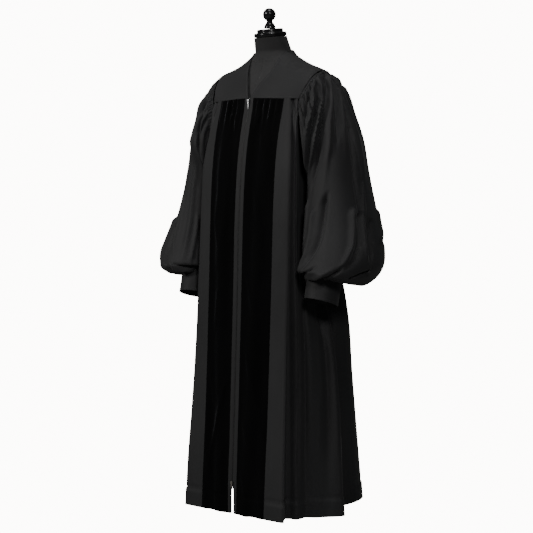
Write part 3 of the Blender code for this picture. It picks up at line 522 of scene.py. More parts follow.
# Heights of the rows of the front's flat pieces
FRONT_ROWS = (1.303, 1.285, 1.26, 1.23, 1.18, 1.1, 1.0, 0.86, 0.7, 0.53, 0.36, 0.19, 0.025)
BAND_ROWS = (1.303, 1.27, 1.23, 1.18, 1.1, 0.95, 0.7, 0.45, 0.25, 0.14, 0.108, 0.096, 0.06, 0.025)


def row_z(x, z):
    """The height of a row of points, with the top row brought to the yoke seam."""
    return min(z, seam_z(x) - SEAM)


def slit_inner(z, closed_x):
    """The inner edge of a closure piece: shut above the lower slider, open below it."""
    if z >= SLIT_TOP_Z:
        return closed_x
    opened = min(1.0, (SLIT_TOP_Z - z) / 0.014)
    return closed_x + (SLIT_HALF - BAND_INNER_X) * math.sin(opened * math.pi / 2)


def band_grid():
    """Rows from the yoke seam to the hem, columns from the zip to the velvet."""
    grid = []
    for z in BAND_ROWS:
        inner = slit_inner(z, BAND_INNER_X)
        grid.append([(inner + (BAND_OUTER_X - inner) * s, front_y(inner, z) - 0.0006 * math.sin(math.pi * s),
                      row_z(0.01, z)) for s in shares(3)])
    return np.array(grid)


def tape_grid():
    """The zip's tape, behind the band, in the same rows."""
    grid = []
    for z in BAND_ROWS:
        inner = slit_inner(z, 0.0005)
        depth = CLOTH / 2 + SEAM + TAPE_THICK / 2
        grid.append([(inner + (TAPE_HALF_WIDTH - inner) * s, front_y(inner, z) + depth, row_z(0.01, z))
                     for s in shares(2)])
    return np.array(grid)


def velvet_grid():
    """The velvet, with its gathers and long soft folds."""
    grid = []
    for z in FRONT_ROWS:
        line = []
        for s in shares(17):
            x = BAND_OUTER_X + SEAM + (VELVET_EDGE_X - BAND_OUTER_X - SEAM) * s
            height = row_z(x, z)
            line.append((x, front_y(x, height) - gather(x, height), height))
        grid.append(line)
    return np.array(grid)


def side_grid():
    """The side of the front: the flat pleat, its return, and the folds as far as the side seam."""
    names = list(SIDE_LINES)
    lines = [fall(SIDE_LINES[name]) for name in names]
    grid = []
    for i, share in enumerate(FALL_ROWS):
        top = seam_z(VELVET_EDGE_X) - SEAM
        z = top + (HEM_Z - top) * share
        pleat_x = column(FRONT_LINE, 3, z)
        edge_y = front_y(pleat_x, z)
        row = [(x, front_y(x, z), z) for x in
               (VELVET_EDGE_X + SEAM, (VELVET_EDGE_X + pleat_x) / 2, pleat_x - 0.0022)]
        row.append((pleat_x, edge_y + 0.0018, z))
        row.append((pleat_x - 0.0030, edge_y + 0.0048, z))
        rest = spline([line[i] for line in lines], shares(17))
        grid.append(np.vstack([row, rest]))
    return under_seam(np.array(grid))


def back_grid():
    """The fluted back, from the side seam to the middle."""
    lines = [fall(points) for points in BACK_LINES.values()]
    grid = [spline([line[i] for line in lines], shares(23)) for i in range(len(FALL_ROWS))]
    grid = under_seam(np.array(grid))
    toward = grid[:, 1] - grid[:, 0]
    toward /= np.linalg.norm(toward, axis=1, keepdims=True)
    grid[:, 0] += toward * 2 * SEAM
    return grid


def sleeve_ring(row, count):
    """One lower ring of the sleeve, starting at its outer side and going by the front."""
    z, cx, cy, ax, ay, rise, sag = row
    points = []
    for j in range(count):
        turn = math.tau * j / count
        outward, backward = math.cos(turn), -math.sin(turn)
        power = 2 / 2.35
        x = cx + ax * math.copysign(abs(outward) ** power, outward)
        y = cy + ay * math.copysign(abs(backward) ** power, backward)
        points.append((x, y, z + rise * outward - sag * (0.6 * outward + 0.8 * backward)))
    return points


def cuff_ring(share, count):
    """A ring of the cuff, which leans forward and so slopes down towards the back."""
    cx, cy, cz = (a + (b - a) * share for a, b in zip(CUFF_TOP, CUFF_END))
    slope_x, slope_y = (a + (b - a) * share for a, b in zip(CUFF_TOP_SLOPE, CUFF_END_SLOPE))
    flare = 1.0 - 0.03 * share
    points = []
    for j in range(count):
        turn = math.tau * j / count
        x, y = CUFF_HALF_X * flare * math.cos(turn), -CUFF_HALF_Y * flare * math.sin(turn)
        points.append((cx + x, cy + y, cz + slope_x * x + slope_y * y))
    return points


def even_ring(points, count):
    """`count` points evenly spaced round a closed curve, from its first point."""
    fine = spline(points, [k / 600 for k in range(601)], closed=True)
    run = np.concatenate([[0.0], np.cumsum(np.linalg.norm(np.diff(fine, axis=0), axis=1))])
    places = np.arange(count) * run[-1] / count
    return np.array([[np.interp(place, run, fine[:, axis]) for axis in range(3)] for place in places])


def armhole_loop():
    """The edge of the armhole, from the shoulder's tip by the front, the underarm and the back."""
    side, back = side_grid(), back_grid()
    back_yoke, arm_columns = back_yoke_grid()
    front = yoke_grid()[::-1, -1][:-1:2]
    low_front = [side[0, k] for k in range(10, side.shape[1])]
    low_back = [back[0, k] for k in range(1, 9)]
    up_back = [back_yoke[-1, k] for k in range(arm_columns, 0, -1)]
    return [tuple(p) for p in front] + [tuple(p) for p in low_front[::2]] + \
        [tuple(p) for p in low_back[::2]] + [tuple(p) for p in up_back]


def sleeve_grids():
    """The sleeve, without the folds of its solid, and the shirred band above it."""
    count = SLEEVE_POINTS
    seam_ring = even_ring(armhole_loop(), count)
    band_end = even_ring(HEAD_BAND_END, count)
    toward = band_end - seam_ring
    toward /= np.linalg.norm(toward, axis=1, keepdims=True)
    start = seam_ring + toward * HEAD_GAP + np.array([0.0014, 0.0, 0.0])
    head_band = np.array([start, band_end - toward * 3 * SEAM])
    head = even_ring(PUFF, count)
    rings = [band_end, (band_end + head) / 2 + toward * 0.0050, head, even_ring(UPPER_ARM, count)]
    for row in SLEEVE_RINGS:
        rings.append(np.array(sleeve_ring(row, count)))
    end = np.array(cuff_ring(0.0, count))
    middle = end.mean(axis=0)
    lip = middle + (end - middle) * 1.07
    lip[:, 2] += 0.0020
    end[:, 2] += CLOTH / 2 + 2 * SEAM + 0.0006
    return np.array(rings + [lip, end]), head_band


def cuff_grid():
    """The cuff, as three rings from its top to its end."""
    return np.array([cuff_ring(share, 24) for share in (0.0, 0.5, 1.0)])


def form_rows():
    """The rings of the form, from its waist to the top of its neck."""
    rings = []
    for z in [row[0] for row in FORM_RINGS]:
        ring = []
        for j in range(FORM_POINTS):
            angle = 360.0 * j / FORM_POINTS
            back = 90 < angle < 270
            ring.append(ring_point(FORM_RINGS, z, angle if not back else 180 - angle, back))
        rings.append(ring)
    neck = []
    for j in range(FORM_POINTS):
        turn = math.tau * j / FORM_POINTS
        y = -NECK_TOP_HALF[1] * math.cos(turn)
        neck.append((NECK_TOP_HALF[0] * math.sin(turn), NECK_TOP[1] + y,
                     NECK_TOP[2] + math.tan(math.radians(NECK_TILT_DEG)) * y))
    rings.append(neck)
    return np.array(rings)


# Materials. The ramp's usual start and end:
RAMP_SPAN = (0.3, 0.7)


def noise(tree, place, scale, detail, upright):
    """The value of a noise texture in object space, stretched along z where `upright` is below 1."""
    spread = tree.nodes.new("ShaderNodeMapping")
    spread.inputs["Scale"].default_value = (1.0, 1.0, upright)
    tree.links.new(place.outputs["Object"], spread.inputs["Vector"])
    made = tree.nodes.new("ShaderNodeTexNoise")
    made.inputs["Scale"].default_value = scale
    made.inputs["Detail"].default_value = detail
    tree.links.new(spread.outputs["Vector"], made.inputs["Vector"])
    return made.outputs["Fac"]


def ramp(tree, source, low, high, start, end):
    """A colour that runs from low to high with the source's value."""
    made = tree.nodes.new("ShaderNodeValToRGB")
    made.color_ramp.elements[0].position = start
    made.color_ramp.elements[1].position = end
    made.color_ramp.elements[0].color = (*low, 1.0)
    made.color_ramp.elements[1].color = (*high, 1.0)
    tree.links.new(source, made.inputs["Fac"])
    return made.outputs["Color"]


def bumps(tree, shader, heights):
    """A chain of bumps from (value, strength, distance)."""
    last = None
    for value, strength, distance in heights:
        made = tree.nodes.new("ShaderNodeBump")
        made.inputs["Strength"].default_value = strength
        made.inputs["Distance"].default_value = distance
        tree.links.new(value, made.inputs["Height"])
        if last is not None:
            tree.links.new(last.outputs["Normal"], made.inputs["Normal"])
        last = made
    tree.links.new(last.outputs["Normal"], shader.inputs["Normal"])


def weave(tree, place, pitch):
    """A twill weave: fine slanted ribs, about one a pitch."""
    turned = tree.nodes.new("ShaderNodeMapping")
    turned.inputs["Rotation"].default_value = (0.0, math.radians(38.0), math.radians(20.0))
    tree.links.new(place.outputs["Object"], turned.inputs["Vector"])
    made = tree.nodes.new("ShaderNodeTexWave")
    made.wave_type = "BANDS"
    made.bands_direction = "DIAGONAL"
    made.inputs["Scale"].default_value = 1.0 / pitch / 6.0
    made.inputs["Distortion"].default_value = 0.6
    made.inputs["Detail"].default_value = 1.0
    tree.links.new(turned.outputs["Vector"], made.inputs["Vector"])
    return made.outputs["Fac"]


def material(name, colour, roughness, specular, tone, relief=(), twill=None, inputs=None):
    """A Principled material whose tone varies with one noise and whose relief comes from others.

    tone holds scale, detail, upright, the darkest and lightest share of the colour (or two colours), and
    where the ramp starts and ends; relief holds rows of scale, detail, upright, strength and distance;
    twill holds the weave's pitch, strength and distance.
    """
    made = bpy.data.materials.new(name)
    made.use_nodes = True
    tree = made.node_tree
    shader = tree.nodes["Principled BSDF"]
    shader.inputs["Base Color"].default_value = (*colour, 1.0)
    shader.inputs["Roughness"].default_value = roughness
    shader.inputs["Specular IOR Level"].default_value = specular
    for label, value in (inputs or {}).items():
        shader.inputs[label].default_value = value
    place = tree.nodes.new("ShaderNodeTexCoord")
    scale, detail, upright, low, high, *span = tone
    if not isinstance(low, tuple):
        low, high = (tuple(c * share for c in colour) for share in (low, high))
    start, end = span or RAMP_SPAN
    source = noise(tree, place, scale, detail, upright)
    tree.links.new(ramp(tree, source, low, high, start, end), shader.inputs["Base Color"])
    heights = []
    if twill:
        pitch, strength, distance = twill
        heights.append((weave(tree, place, pitch), strength, distance))
    for scale, detail, upright, strength, distance in relief:
        heights.append((noise(tree, place, scale, detail, upright), strength, distance))
    if heights:
        bumps(tree, shader, heights)
    return made


def metal(name, colour, roughness):
    """A brushed or painted metal."""
    return material(name, colour, roughness, 0.5, (900.0, 2.0, 0.15, 0.85, 1.0),
                    [(900.0, 2.0, 0.15, 0.08, 0.0001)], inputs={"Metallic": 1.0})


def thread(name, colour):
    """A twisted thread."""
    return material(name, colour, 0.55, 0.30, (1500.0, 1.0, 1.0, 0.8, 1.2), [(1500.0, 1.0, 1.0, 0.3, 0.0002)],
                    inputs={"Sheen Weight": 0.10, "Sheen Roughness": 0.4})


# Fine grids from the solids' own grids of points
def blend_matrix(places, counts, closed=False):
    """The matrix of a Catmull-Rom curve with uneven spans, and the place of each fine row."""
    count = len(places) if not closed else len(places) - 1
    spans = len(counts)
    rows, where = [], []
    for i in range(spans):
        steps = counts[i] + (1 if i == spans - 1 and not closed else 0)
        for k in range(steps):
            t = k / counts[i]
            row = np.zeros(count)
            h = places[i + 1] - places[i]
            a, b = i, (i + 1) % count
            f00, f01 = 2 * t ** 3 - 3 * t ** 2 + 1, 3 * t ** 2 - 2 * t ** 3
            f10, f11 = t ** 3 - 2 * t ** 2 + t, t ** 3 - t ** 2
            row[a] += f00
            row[b] += f01
            for at, factor in ((i, f10), (i + 1, f11)):
                if closed:
                    before = places[at] - places[at - 1] if at > 0 else places[-1] - places[-2]
                    after = places[at + 1] - places[at] if at < count else places[1] - places[0]
                    prev, here, following = (at - 1) % count, at % count, (at + 1) % count
                elif at == 0:
                    row[1] += factor
                    row[0] -= factor
                    continue
                elif at == count - 1:
                    row[at] += factor
                    row[at - 1] -= factor
                    continue
                else:
                    before, after = places[at] - places[at - 1], places[at + 1] - places[at]
                    prev, here, following = at - 1, at, at + 1
                whole = before + after
                row[here] += factor * h * (after / whole / before - before / whole / after)
                row[prev] -= factor * h * after / whole / before
                row[following] += factor * h * before / whole / after
            rows.append(row)
            where.append(places[i] + h * t)
    return np.array(rows), np.array(where)


# A power below 1 keeps the curve calm where long and short steps meet
SPACING_POWER = 0.6


def spacing(grid, axis, closed):
    """The mean place of each row or column along the cloth, from 0, in metres to the power SPACING_POWER."""
    steps = np.linalg.norm(np.diff(grid, axis=axis), axis=2).mean(axis=1 - axis)
    if closed:
        ends = np.take(grid, 0, axis=axis) - np.take(grid, -1, axis=axis)
        steps = np.append(steps, np.linalg.norm(ends, axis=1).mean())
    return np.concatenate([[0.0], np.cumsum(np.maximum(steps, 1e-5) ** SPACING_POWER)])


def step_counts(places, total):
    """How many fine steps each span gets, out of about `total`, by its length."""
    real = np.diff(places) ** (1 / SPACING_POWER)
    return [max(1, int(round(total * r / real.sum()))) for r in real]


def finer(grid, rows, cols, closed=False):
    """The grid drawn finely: about `rows` and `cols` points, with every point of the solid's grid kept."""
    grid = np.asarray(grid, float)
    down = spacing(grid, 0, False)
    across = spacing(grid, 1, closed)

    down_matrix, _ = blend_matrix(down, step_counts(down, rows))
    across_matrix, _ = blend_matrix(across, step_counts(across, cols), closed)
    return np.einsum("ai,ijk,bj->abk", down_matrix, grid, across_matrix)


def normals(grid, closed=False):
    """The direction that each point of a grid faces."""
    if closed:
        across = np.roll(grid, -1, axis=1) - np.roll(grid, 1, axis=1)
    else:
        across = np.gradient(grid, axis=1)
    down = np.gradient(grid, axis=0)
    found = np.cross(across, down)
    return found / np.maximum(np.linalg.norm(found, axis=2, keepdims=True), 1e-12)


def run_down(grid):
    """How far each point lies down the cloth from its top row, in metres."""
    steps = np.linalg.norm(np.diff(grid, axis=0), axis=2)
    return np.vstack([np.zeros(grid.shape[1]), np.cumsum(steps, axis=0)])


def run_across(grid):
    """How far each point lies across the cloth from its first column, in metres."""
    steps = np.linalg.norm(np.diff(grid, axis=1), axis=2)
    return np.hstack([np.zeros((grid.shape[0], 1)), np.cumsum(steps, axis=1)])


def smooth_step(value):
    """A soft rise from 0 to 1."""
    value = np.clip(value, 0.0, 1.0)
    return value * value * (3 - 2 * value)


def near_line(u, v, path, period=None):
    """The distance of each (u, v) from a path of (u, v), and the share of the path it's nearest to."""
    best = np.full(u.shape, 1e9)
    share = np.zeros(u.shape)
    count = len(path) - 1
    for k in range(count):
        (u0, v0), (u1, v1) = path[k], path[k + 1]
        du, dv = u1 - u0, v1 - v0
        pu = u - u0
        if period:
            pu = (pu + period / 2) % period - period / 2
        pv = v - v0
        t = np.clip((pu * du + pv * dv) / (du * du + dv * dv), 0.0, 1.0)
        away = np.hypot(pu - du * t, pv - dv * t)
        closer = away < best
        best = np.where(closer, away, best)
        share = np.where(closer, (k + t) / count, share)
    return best, share


def crease(u, v, path, half, height, sharp=1.0, period=None, head=0.25, tail=0.35):
    """A soft ridge along a path, or a trough if the height is negative, that fades at its ends."""
    away, share = near_line(u, v, path, period)
    fade = smooth_step(share / head) * smooth_step((1 - share) / tail)
    return height * fade * np.exp(-np.abs(away / half) ** (2.0 * sharp))


def unwrap(path):
    """A path whose share of the way round never jumps over the whole turn."""
    found = [path[0]]
    for a, b in path[1:]:
        last = found[-1][0]
        while a - last > 0.5:
            a -= 1.0
        while last - a > 0.5:
            a += 1.0
        found.append((a, b))
    return found


# Creases: half_width, height, then u, v of each point. A height below zero is a trough.
# On the sleeve u is the share of the way round from the shoulder's tip by the front, the underarm
# and the back, and v the way down the cloth from the shirred band.
SLEEVE_LEFT_CREASES = creases([
    (72, -112, 100, 0, 135, 30, 165, 47, 205, 56, 250, 58),
    (72, -105, 60, 4, 78, 58, 119, 87, 166, 108, 219, 134, 262, 170),
    (80, -138, 30, 4, 39, 50, 67, 90, 110, 124, 153, 150, 220, 210, 272, 302),
    (77, -128, 994, 4, 1010, 56, 1028, 100, 1052, 152, 1075, 195, 1109, 240),
    (69, -128, 965, 4, 972, 62, 984, 118, 998, 170, 1012, 230, 1026, 347, 1031, 448, 1039, 530),
    (72, 75, 80, 2, 118, 55, 178, 82, 220, 100, 270, 128),
    (77, 83, 46, 2, 85, 78, 131, 110, 185, 136, 250, 175, 300, 246),
    (92, 105, 12, 2, 30, 55, 58, 109, 97, 156, 147, 220, 184, 320),
    (80, 90, 978, 2, 993, 50, 1005, 100, 1023, 155, 1044, 206, 1069, 306),
    (84, 60, 945, 2, 940, 60, 945, 120, 955, 190, 972, 290),
    (67, 97, 262, 230, 272, 285, 286, 330, 316, 356, 345, 380),
    (112, -165, 168, 300, 182, 350, 196, 392, 210, 420, 232, 446, 275, 462),
    (78, 105, 225, 300, 232, 345, 241, 385, 256, 416, 280, 432, 315, 425),
    (62, -128, 300, 452, 262, 484, 225, 502, 190, 506),
    (90, 158, 310, 456, 290, 476, 250, 516, 210, 546, 165, 566, 120, 566),
    (65, -150, 320, 470, 272, 512, 228, 550, 195, 570), (76, -188, 175, 590, 148, 599, 125, 592, 104, 574),
    (101, 112, 58, 420, 64, 470, 78, 528, 100, 562, 128, 584),
    (123, -158, 30, 440, 39, 495, 53, 544, 72, 580, 100, 612),
    (47, 67, 990, 340, 1004, 400, 1016, 469, 1025, 525, 1024, 585, 1012, 628),
    (67, -83, 998, 470, 1012, 540, 1008, 590, 998, 632), (90, 83, 978, 480, 978, 550, 980, 590, 1000, 626),
    (78, -120, 1060, 656, 1033, 648, 1005, 644, 975, 632),
    (101, -90, 940, 430, 930, 510, 945, 580, 965, 620), (105, -90, 838, 10, 824, 120, 820, 250),
    (130, 70, 800, 5, 782, 130, 788, 290, 805, 430), (100, -80, 750, 5, 738, 110, 735, 230),
    (110, 60, 705, 5, 700, 120, 712, 300), (90, -70, 660, 5, 655, 100, 668, 200),
    (120, 50, 610, 5, 612, 120, 630, 260), (90, -50, 560, 4, 555, 90),
    (110, 45, 500, 4, 490, 110, 480, 260), (90, -60, 445, 4, 430, 80, 420, 190),
    (90, 75, 395, 4, 392, 70, 398, 180), (110, 70, 860, 420, 850, 500, 865, 560),
    (90, -80, 800, 470, 810, 540, 850, 590), (110, 80, 720, 420, 735, 500, 780, 560),
    (90, -70, 660, 430, 690, 500, 740, 540), (100, 60, 590, 400, 620, 470, 660, 510),
])
SLEEVE_RIGHT_CREASES = creases([
    (94, -128, 150, 0, 190, 45, 235, 80, 262, 140, 262, 215, 285, 300, 340, 350),
    (77, 97, 190, 90, 205, 157, 206, 251, 222, 337, 240, 420, 245, 476),
    (55, 60, 245, 300, 262, 365, 272, 412, 268, 450), (66, 67, 150, 320, 162, 380, 182, 446, 215, 496),
    (90, -188, 215, 520, 245, 492, 275, 458, 308, 430, 340, 415),
    (79, 142, 200, 545, 240, 520, 282, 490, 315, 465), (77, -150, 200, 590, 240, 576, 285, 545, 330, 508),
    (79, -90, 100, 0, 130, 60, 160, 120, 170, 200), (76, 75, 120, 0, 155, 55, 185, 110, 192, 190),
    (99, -112, 60, 2, 80, 80, 100, 170, 110, 300), (110, 97, 20, 2, 35, 100, 55, 220, 70, 340),
    (99, -105, 150, 430, 160, 500, 190, 560), (105, 112, 100, 440, 110, 520, 140, 590),
    (99, -112, 50, 470, 65, 550, 100, 615), (110, 97, 990, 420, 1005, 520, 1040, 620),
    (110, -105, 960, 4, 965, 110, 980, 230, 990, 350), (110, 83, 930, 4, 925, 120, 930, 260),
    (110, 70, 905, 10, 890, 140, 900, 300), (95, -80, 865, 6, 848, 110, 845, 220),
    (130, 75, 815, 4, 806, 130, 815, 310, 830, 420), (105, -85, 770, 4, 758, 120, 752, 260),
    (105, 60, 720, 4, 715, 110, 725, 260), (90, -70, 678, 4, 668, 120, 680, 220),
    (120, 50, 625, 4, 625, 120, 640, 280), (90, -50, 575, 4, 565, 90),
    (110, 45, 515, 4, 505, 110, 490, 250), (90, -60, 455, 4, 440, 80, 430, 180),
    (80, 50, 405, 4, 398, 70, 400, 180), (105, 75, 840, 440, 845, 520, 880, 580),
    (90, -80, 790, 450, 800, 530, 840, 575), (110, 75, 705, 430, 725, 500, 775, 560),
    (90, -65, 640, 420, 665, 480, 720, 530), (100, 55, 570, 400, 600, 460, 650, 500),
])
# The small gathers into the cuff, all round: u, how far they drift, half_width, height, length
CUFF_GATHERS = metres([
    (150, 60, 42, 42, 550), (520, -40, 36, 34, 400), (830, 70, 48, 50, 620), (1220, 30, 34, 32, 340),
    (1510, -60, 44, 44, 480), (1880, 40, 38, 36, 400), (2190, 60, 46, 46, 580), (2580, -30, 34, 34, 320),
    (2900, 50, 44, 42, 460), (3250, -60, 38, 36, 400), (3620, 40, 46, 40, 500), (3980, 20, 36, 34, 360),
    (4320, -50, 44, 40, 440), (4700, 40, 38, 34, 360), (5050, 60, 44, 40, 480), (5450, -40, 36, 32, 340),
    (5780, 50, 46, 44, 540), (6180, 30, 36, 34, 380), (6500, -60, 44, 44, 500), (6900, 40, 38, 34, 360),
    (7240, 60, 48, 48, 600), (7650, -30, 36, 34, 360), (7970, 50, 44, 44, 520), (8360, -50, 38, 36, 400),
    (8720, 40, 46, 46, 560), (9080, 20, 36, 34, 360), (9410, -60, 44, 42, 480), (9780, 40, 38, 36, 420),
])
# The shirring at the head: the pitch of its fine ribs, and their heights in turn
SHIRR_STEP = 0.0062
SHIRR_UNEVEN = (0.8, 1.15, 0.6, 1.3, 0.7, 1.05, 1.35, 0.5, 1.1, 0.9)
# The gathers that fan out below the shirring, all round: u, how far they drift, half_width, height, length
HEAD_GATHERS = metres([
    (1180, 300, 43, 42, 700), (200, 80, 41, -36, 500), (550, 160, 41, 34, 450), (880, 200, 41, -40, 550),
    (9850, 40, 41, -34, 500), (1270, 220, 49, -64, 1300), (1410, 200, 57, 56, 1050),
    (1570, 240, 54, -72, 850), (1720, 240, 59, 56, 1200), (1900, 280, 51, -66, 1000),
    (2050, 280, 57, 52, 800), (2220, 300, 51, -60, 1100), (2400, 260, 59, 50, 900),
    (2600, 240, 54, -56, 750), (2820, 200, 59, 46, 950), (3060, 160, 57, -54, 700),
    (3340, 100, 62, 42, 800), (3650, 60, 57, -48, 600), (4000, 40, 68, 38, 700), (4400, -40, 62, -44, 550),
    (4800, -40, 68, 36, 650), (5220, 40, 59, -44, 600), (5620, -60, 65, 42, 800),
    (5960, -80, 57, -52, 650), (6280, -100, 62, 48, 950), (6550, -120, 54, -58, 750),
    (6800, -140, 59, 50, 1100), (7050, -140, 54, -62, 850), (7300, -140, 62, 52, 1200),
    (7560, -120, 54, -64, 950), (7800, -120, 59, 52, 850), (8060, -100, 54, -64, 1150),
    (8300, -80, 62, 52, 1250), (8560, -60, 54, -62, 900), (8800, -40, 59, 50, 1050),
    (9050, 20, 54, -60, 800), (9300, 20, 62, 48, 1200),
])

# On the velvet u is the distance from the robe's middle and v the height above the floor
VELVET_LEFT_CREASES = creases([
    (65, 26, 38, 1306, 34, 1270, 33, 1225), (71, 31, 68, 1306, 50, 1262, 36, 1225, 31, 1190),
    (62, 22, 83, 1306, 84, 1262, 80, 1225), (62, 19, 101, 1306, 103, 1270, 100, 1240),
    (56, -20, 53, 1306, 52, 1275, 48, 1245), (93, 19, 62, 1190, 75, 1150, 96, 1095, 104, 1040),
    (101, 24, 34, 1090, 48, 1040, 62, 994, 76, 932, 100, 850),
    (96, 26, 27, 800, 42, 730, 60, 665, 80, 600, 104, 520),
    (93, 29, 36, 545, 55, 470, 72, 400, 92, 325, 112, 250), (90, 26, 32, 325, 52, 262, 72, 195, 90, 120),
    (78, 20, 30, 160, 43, 125, 57, 85), (78, 17, 88, 150, 98, 100, 108, 55),
    (139, -19, 90, 780, 80, 700, 86, 620), (139, -17, 50, 900, 42, 820, 50, 740),
    (124, -17, 95, 480, 102, 410, 98, 350),
])
VELVET_RIGHT_CREASES = creases([
    (62, 22, 110, 1306, 112, 1265, 108, 1215), (68, 29, 83, 1306, 80, 1270, 77, 1222),
    (68, 29, 55, 1306, 52, 1262, 40, 1222, 32, 1185), (59, 22, 32, 1306, 32, 1275, 34, 1240),
    (56, -20, 68, 1306, 67, 1275, 64, 1245),
    (96, 22, 76, 1200, 84, 1088, 83, 1013, 96, 925, 82, 850, 100, 740),
    (93, 20, 55, 1180, 50, 1088, 55, 932, 71, 841, 96, 730), (87, 20, 76, 720, 83, 650, 90, 570),
    (84, 22, 106, 480, 96, 420, 78, 335), (87, 34, 34, 445, 50, 375, 67, 303, 92, 210, 100, 120),
    (71, 19, 48, 165, 44, 120, 39, 65), (78, 20, 108, 210, 100, 150, 88, 85),
    (78, 17, 40, 245, 44, 205, 48, 165), (132, -19, 40, 860, 36, 740, 44, 620),
    (132, -17, 60, 620, 55, 530, 62, 450),
])
# On the side panel u is the distance across the cloth from the velvet's edge and v the height
SIDE_CREASES = creases([
    (26, 26, 24, 1300, 28, 1275, 34, 1240), (24, -40, 31, 1300, 36, 1270, 44, 1225),
    (28, 36, 38, 1300, 47, 1262, 60, 1225, 68, 1165), (26, -44, 46, 1300, 56, 1268, 67, 1215),
    (28, 34, 54, 1300, 66, 1262, 80, 1225), (28, -38, 62, 1300, 78, 1260, 92, 1205),
    (140, 10, 20, 980, 30, 860, 26, 740), (140, 10, 34, 560, 26, 450, 36, 330),
    (85, -105, 150, 1000, 138, 760, 142, 500, 148, 300, 160, 60),
    (200, 105, 186, 860, 186, 700, 192, 500, 198, 300, 208, 50),
    (160, -125, 246, 780, 248, 600, 252, 458, 258, 305, 268, 50),
    (62, 70, 276, 760, 280, 600, 288, 458, 300, 305, 326, 50),
    (75, -50, 290, 700, 300, 520, 316, 305, 345, 60), (80, 16, 222, 420, 226, 300, 232, 160),
    (80, -14, 176, 300, 180, 200, 182, 100),
])
# On the back u is the distance across the cloth from the side seam and v the height
BACK_CREASES = creases([
    (110, 24, 60, 640, 70, 450, 78, 240), (100, -26, 120, 1000, 128, 820, 140, 600),
    (80, 26, 180, 1150, 186, 980, 196, 760), (100, 30, 230, 900, 240, 700, 262, 440, 270, 260),
    (100, -28, 300, 560, 316, 380, 322, 180), (90, 24, 350, 1000, 366, 800, 392, 540),
    (110, 22, 420, 420, 436, 260, 440, 120), (70, -22, 260, 1180, 268, 1060, 272, 920),
])
# The gathers of the back at the yoke seam: distance from the middle, drift, half_width, height, length
BACK_GATHERS = metres([
    (100, 20, 36, 26, 700), (240, -20, 30, 20, 450), (370, 30, 38, 28, 850), (520, 10, 30, 22, 500),
    (660, -30, 40, 30, 950), (810, 20, 32, 20, 420), (950, 30, 36, 28, 780), (1090, -20, 32, 22, 520),
    (1240, 20, 38, 26, 660), (1390, -10, 32, 22, 480),
])
# How high the hem's stitches lie, and its puckers: distance along the hem, half_width, height
HEM_STITCH_UP = 0.056
HEM_PUCKERS = metres([
    (120, 60, 7), (310, 45, 5), (470, 70, 9), (710, 50, 6), (900, 65, 8), (1180, 50, 6), (1370, 75, 10),
    (1630, 50, 6), (1860, 70, 9), (2090, 55, 7), (2360, 75, 10), (2620, 50, 6), (2870, 65, 9),
    (3150, 55, 7), (3410, 70, 9), (3680, 50, 6), (3960, 70, 9), (4280, 60, 7), (4560, 65, 8),
    (4860, 55, 7),
])
# The way round the sleeve that u is a share of, and the heights that the folds are kept within
TURN_METRES = 0.70
FOLD_LOW = -0.022
FOLD_HIGH = 0.0140
# The steps that the turns are shared out in. They are more than the columns of the sleeve and its head, so
# the turns end at 0.81 and 0.74 of the way round, which stretches what is placed by them.
SLEEVE_TURN_STEPS = 340
HEAD_TURN_STEPS = 760
# The calm stretch at the sleeve's outer side, where the outline shows: its turn, half_width and strength
CALM_TURN = 0.375
CALM_HALF = 0.085
OUTER_CALM = 0.85
# The back's gathers start just above the yoke seam
GATHER_TOP_Z = 1.306


# Pieces
def new_piece(name, points, faces, shader, angle=50.0):
    """A smooth mesh that rides the part, with the given material."""
    mesh = bpy.data.meshes.new(name)
    mesh.from_pydata(np.asarray(points, float).tolist(), [], faces)
    mesh.materials.append(shader)
    mesh.polygons.foreach_set("use_smooth", np.ones(len(mesh.polygons), dtype=bool))
    mesh.set_sharp_from_angle(angle=math.radians(angle))
    mesh.update()
    made = bpy.data.objects.new(name, mesh)
    bpy.context.scene.collection.objects.link(made)
    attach(made, "root")
    return made


def grid_quads(rows, cols, closed):
    """The numbers of a grid's points, and its quads."""
    index = np.arange(rows * cols).reshape(rows, cols)
    if closed:
        index = np.hstack([index, index[:, :1]])
    quads = np.stack([index[:-1, :-1], index[:-1, 1:], index[1:, 1:], index[1:, :-1]], axis=-1)
    return index, quads.reshape(-1, 4)


def tube_faces(base, rings, count, turned=False):
    """The quads between rings of `count` points from the number `base` on, and the caps of both ends."""
    found = []
    for ring in range(rings - 1):
        for k in range(count):
            a, b = base + ring * count + k, base + ring * count + (k + 1) % count
            found.append((a, a + count, b + count, b) if turned else (a, b, b + count, a + count))
    first = range(base, base + count)
    last = range(base + (rings - 1) * count, base + rings * count)
    return found + [tuple(first if turned else reversed(first)), tuple(reversed(last) if turned else last)]


def shell_mesh(grid, thick, closed=False, square=()):
    """Points and quads of a thin cloth shell on both sides of a fine grid."""
    rows, cols = grid.shape[:2]
    normal = normals(grid, closed)
    for row_part, col_part, axis in square:
        normal[row_part, col_part, axis] = 0.0
    normal /= np.linalg.norm(normal, axis=2, keepdims=True)
    outer = (grid + normal * thick / 2).reshape(-1, 3)
    inner = (grid - normal * thick / 2).reshape(-1, 3)
    index, quads = grid_quads(rows, cols, closed)
    shift = rows * cols
    parts = [quads, shift + quads[:, ::-1]]
    edges = [(index[0, 1:], index[0, :-1]), (index[-1, :-1], index[-1, 1:])]
    if not closed:
        edges += [(index[:-1, 0], index[1:, 0]), (index[1:, -1], index[:-1, -1])]
    for first, second in edges:
        parts.append(np.stack([first, second, shift + second, shift + first], axis=-1))
    return np.vstack([outer, inner]), np.vstack(parts)


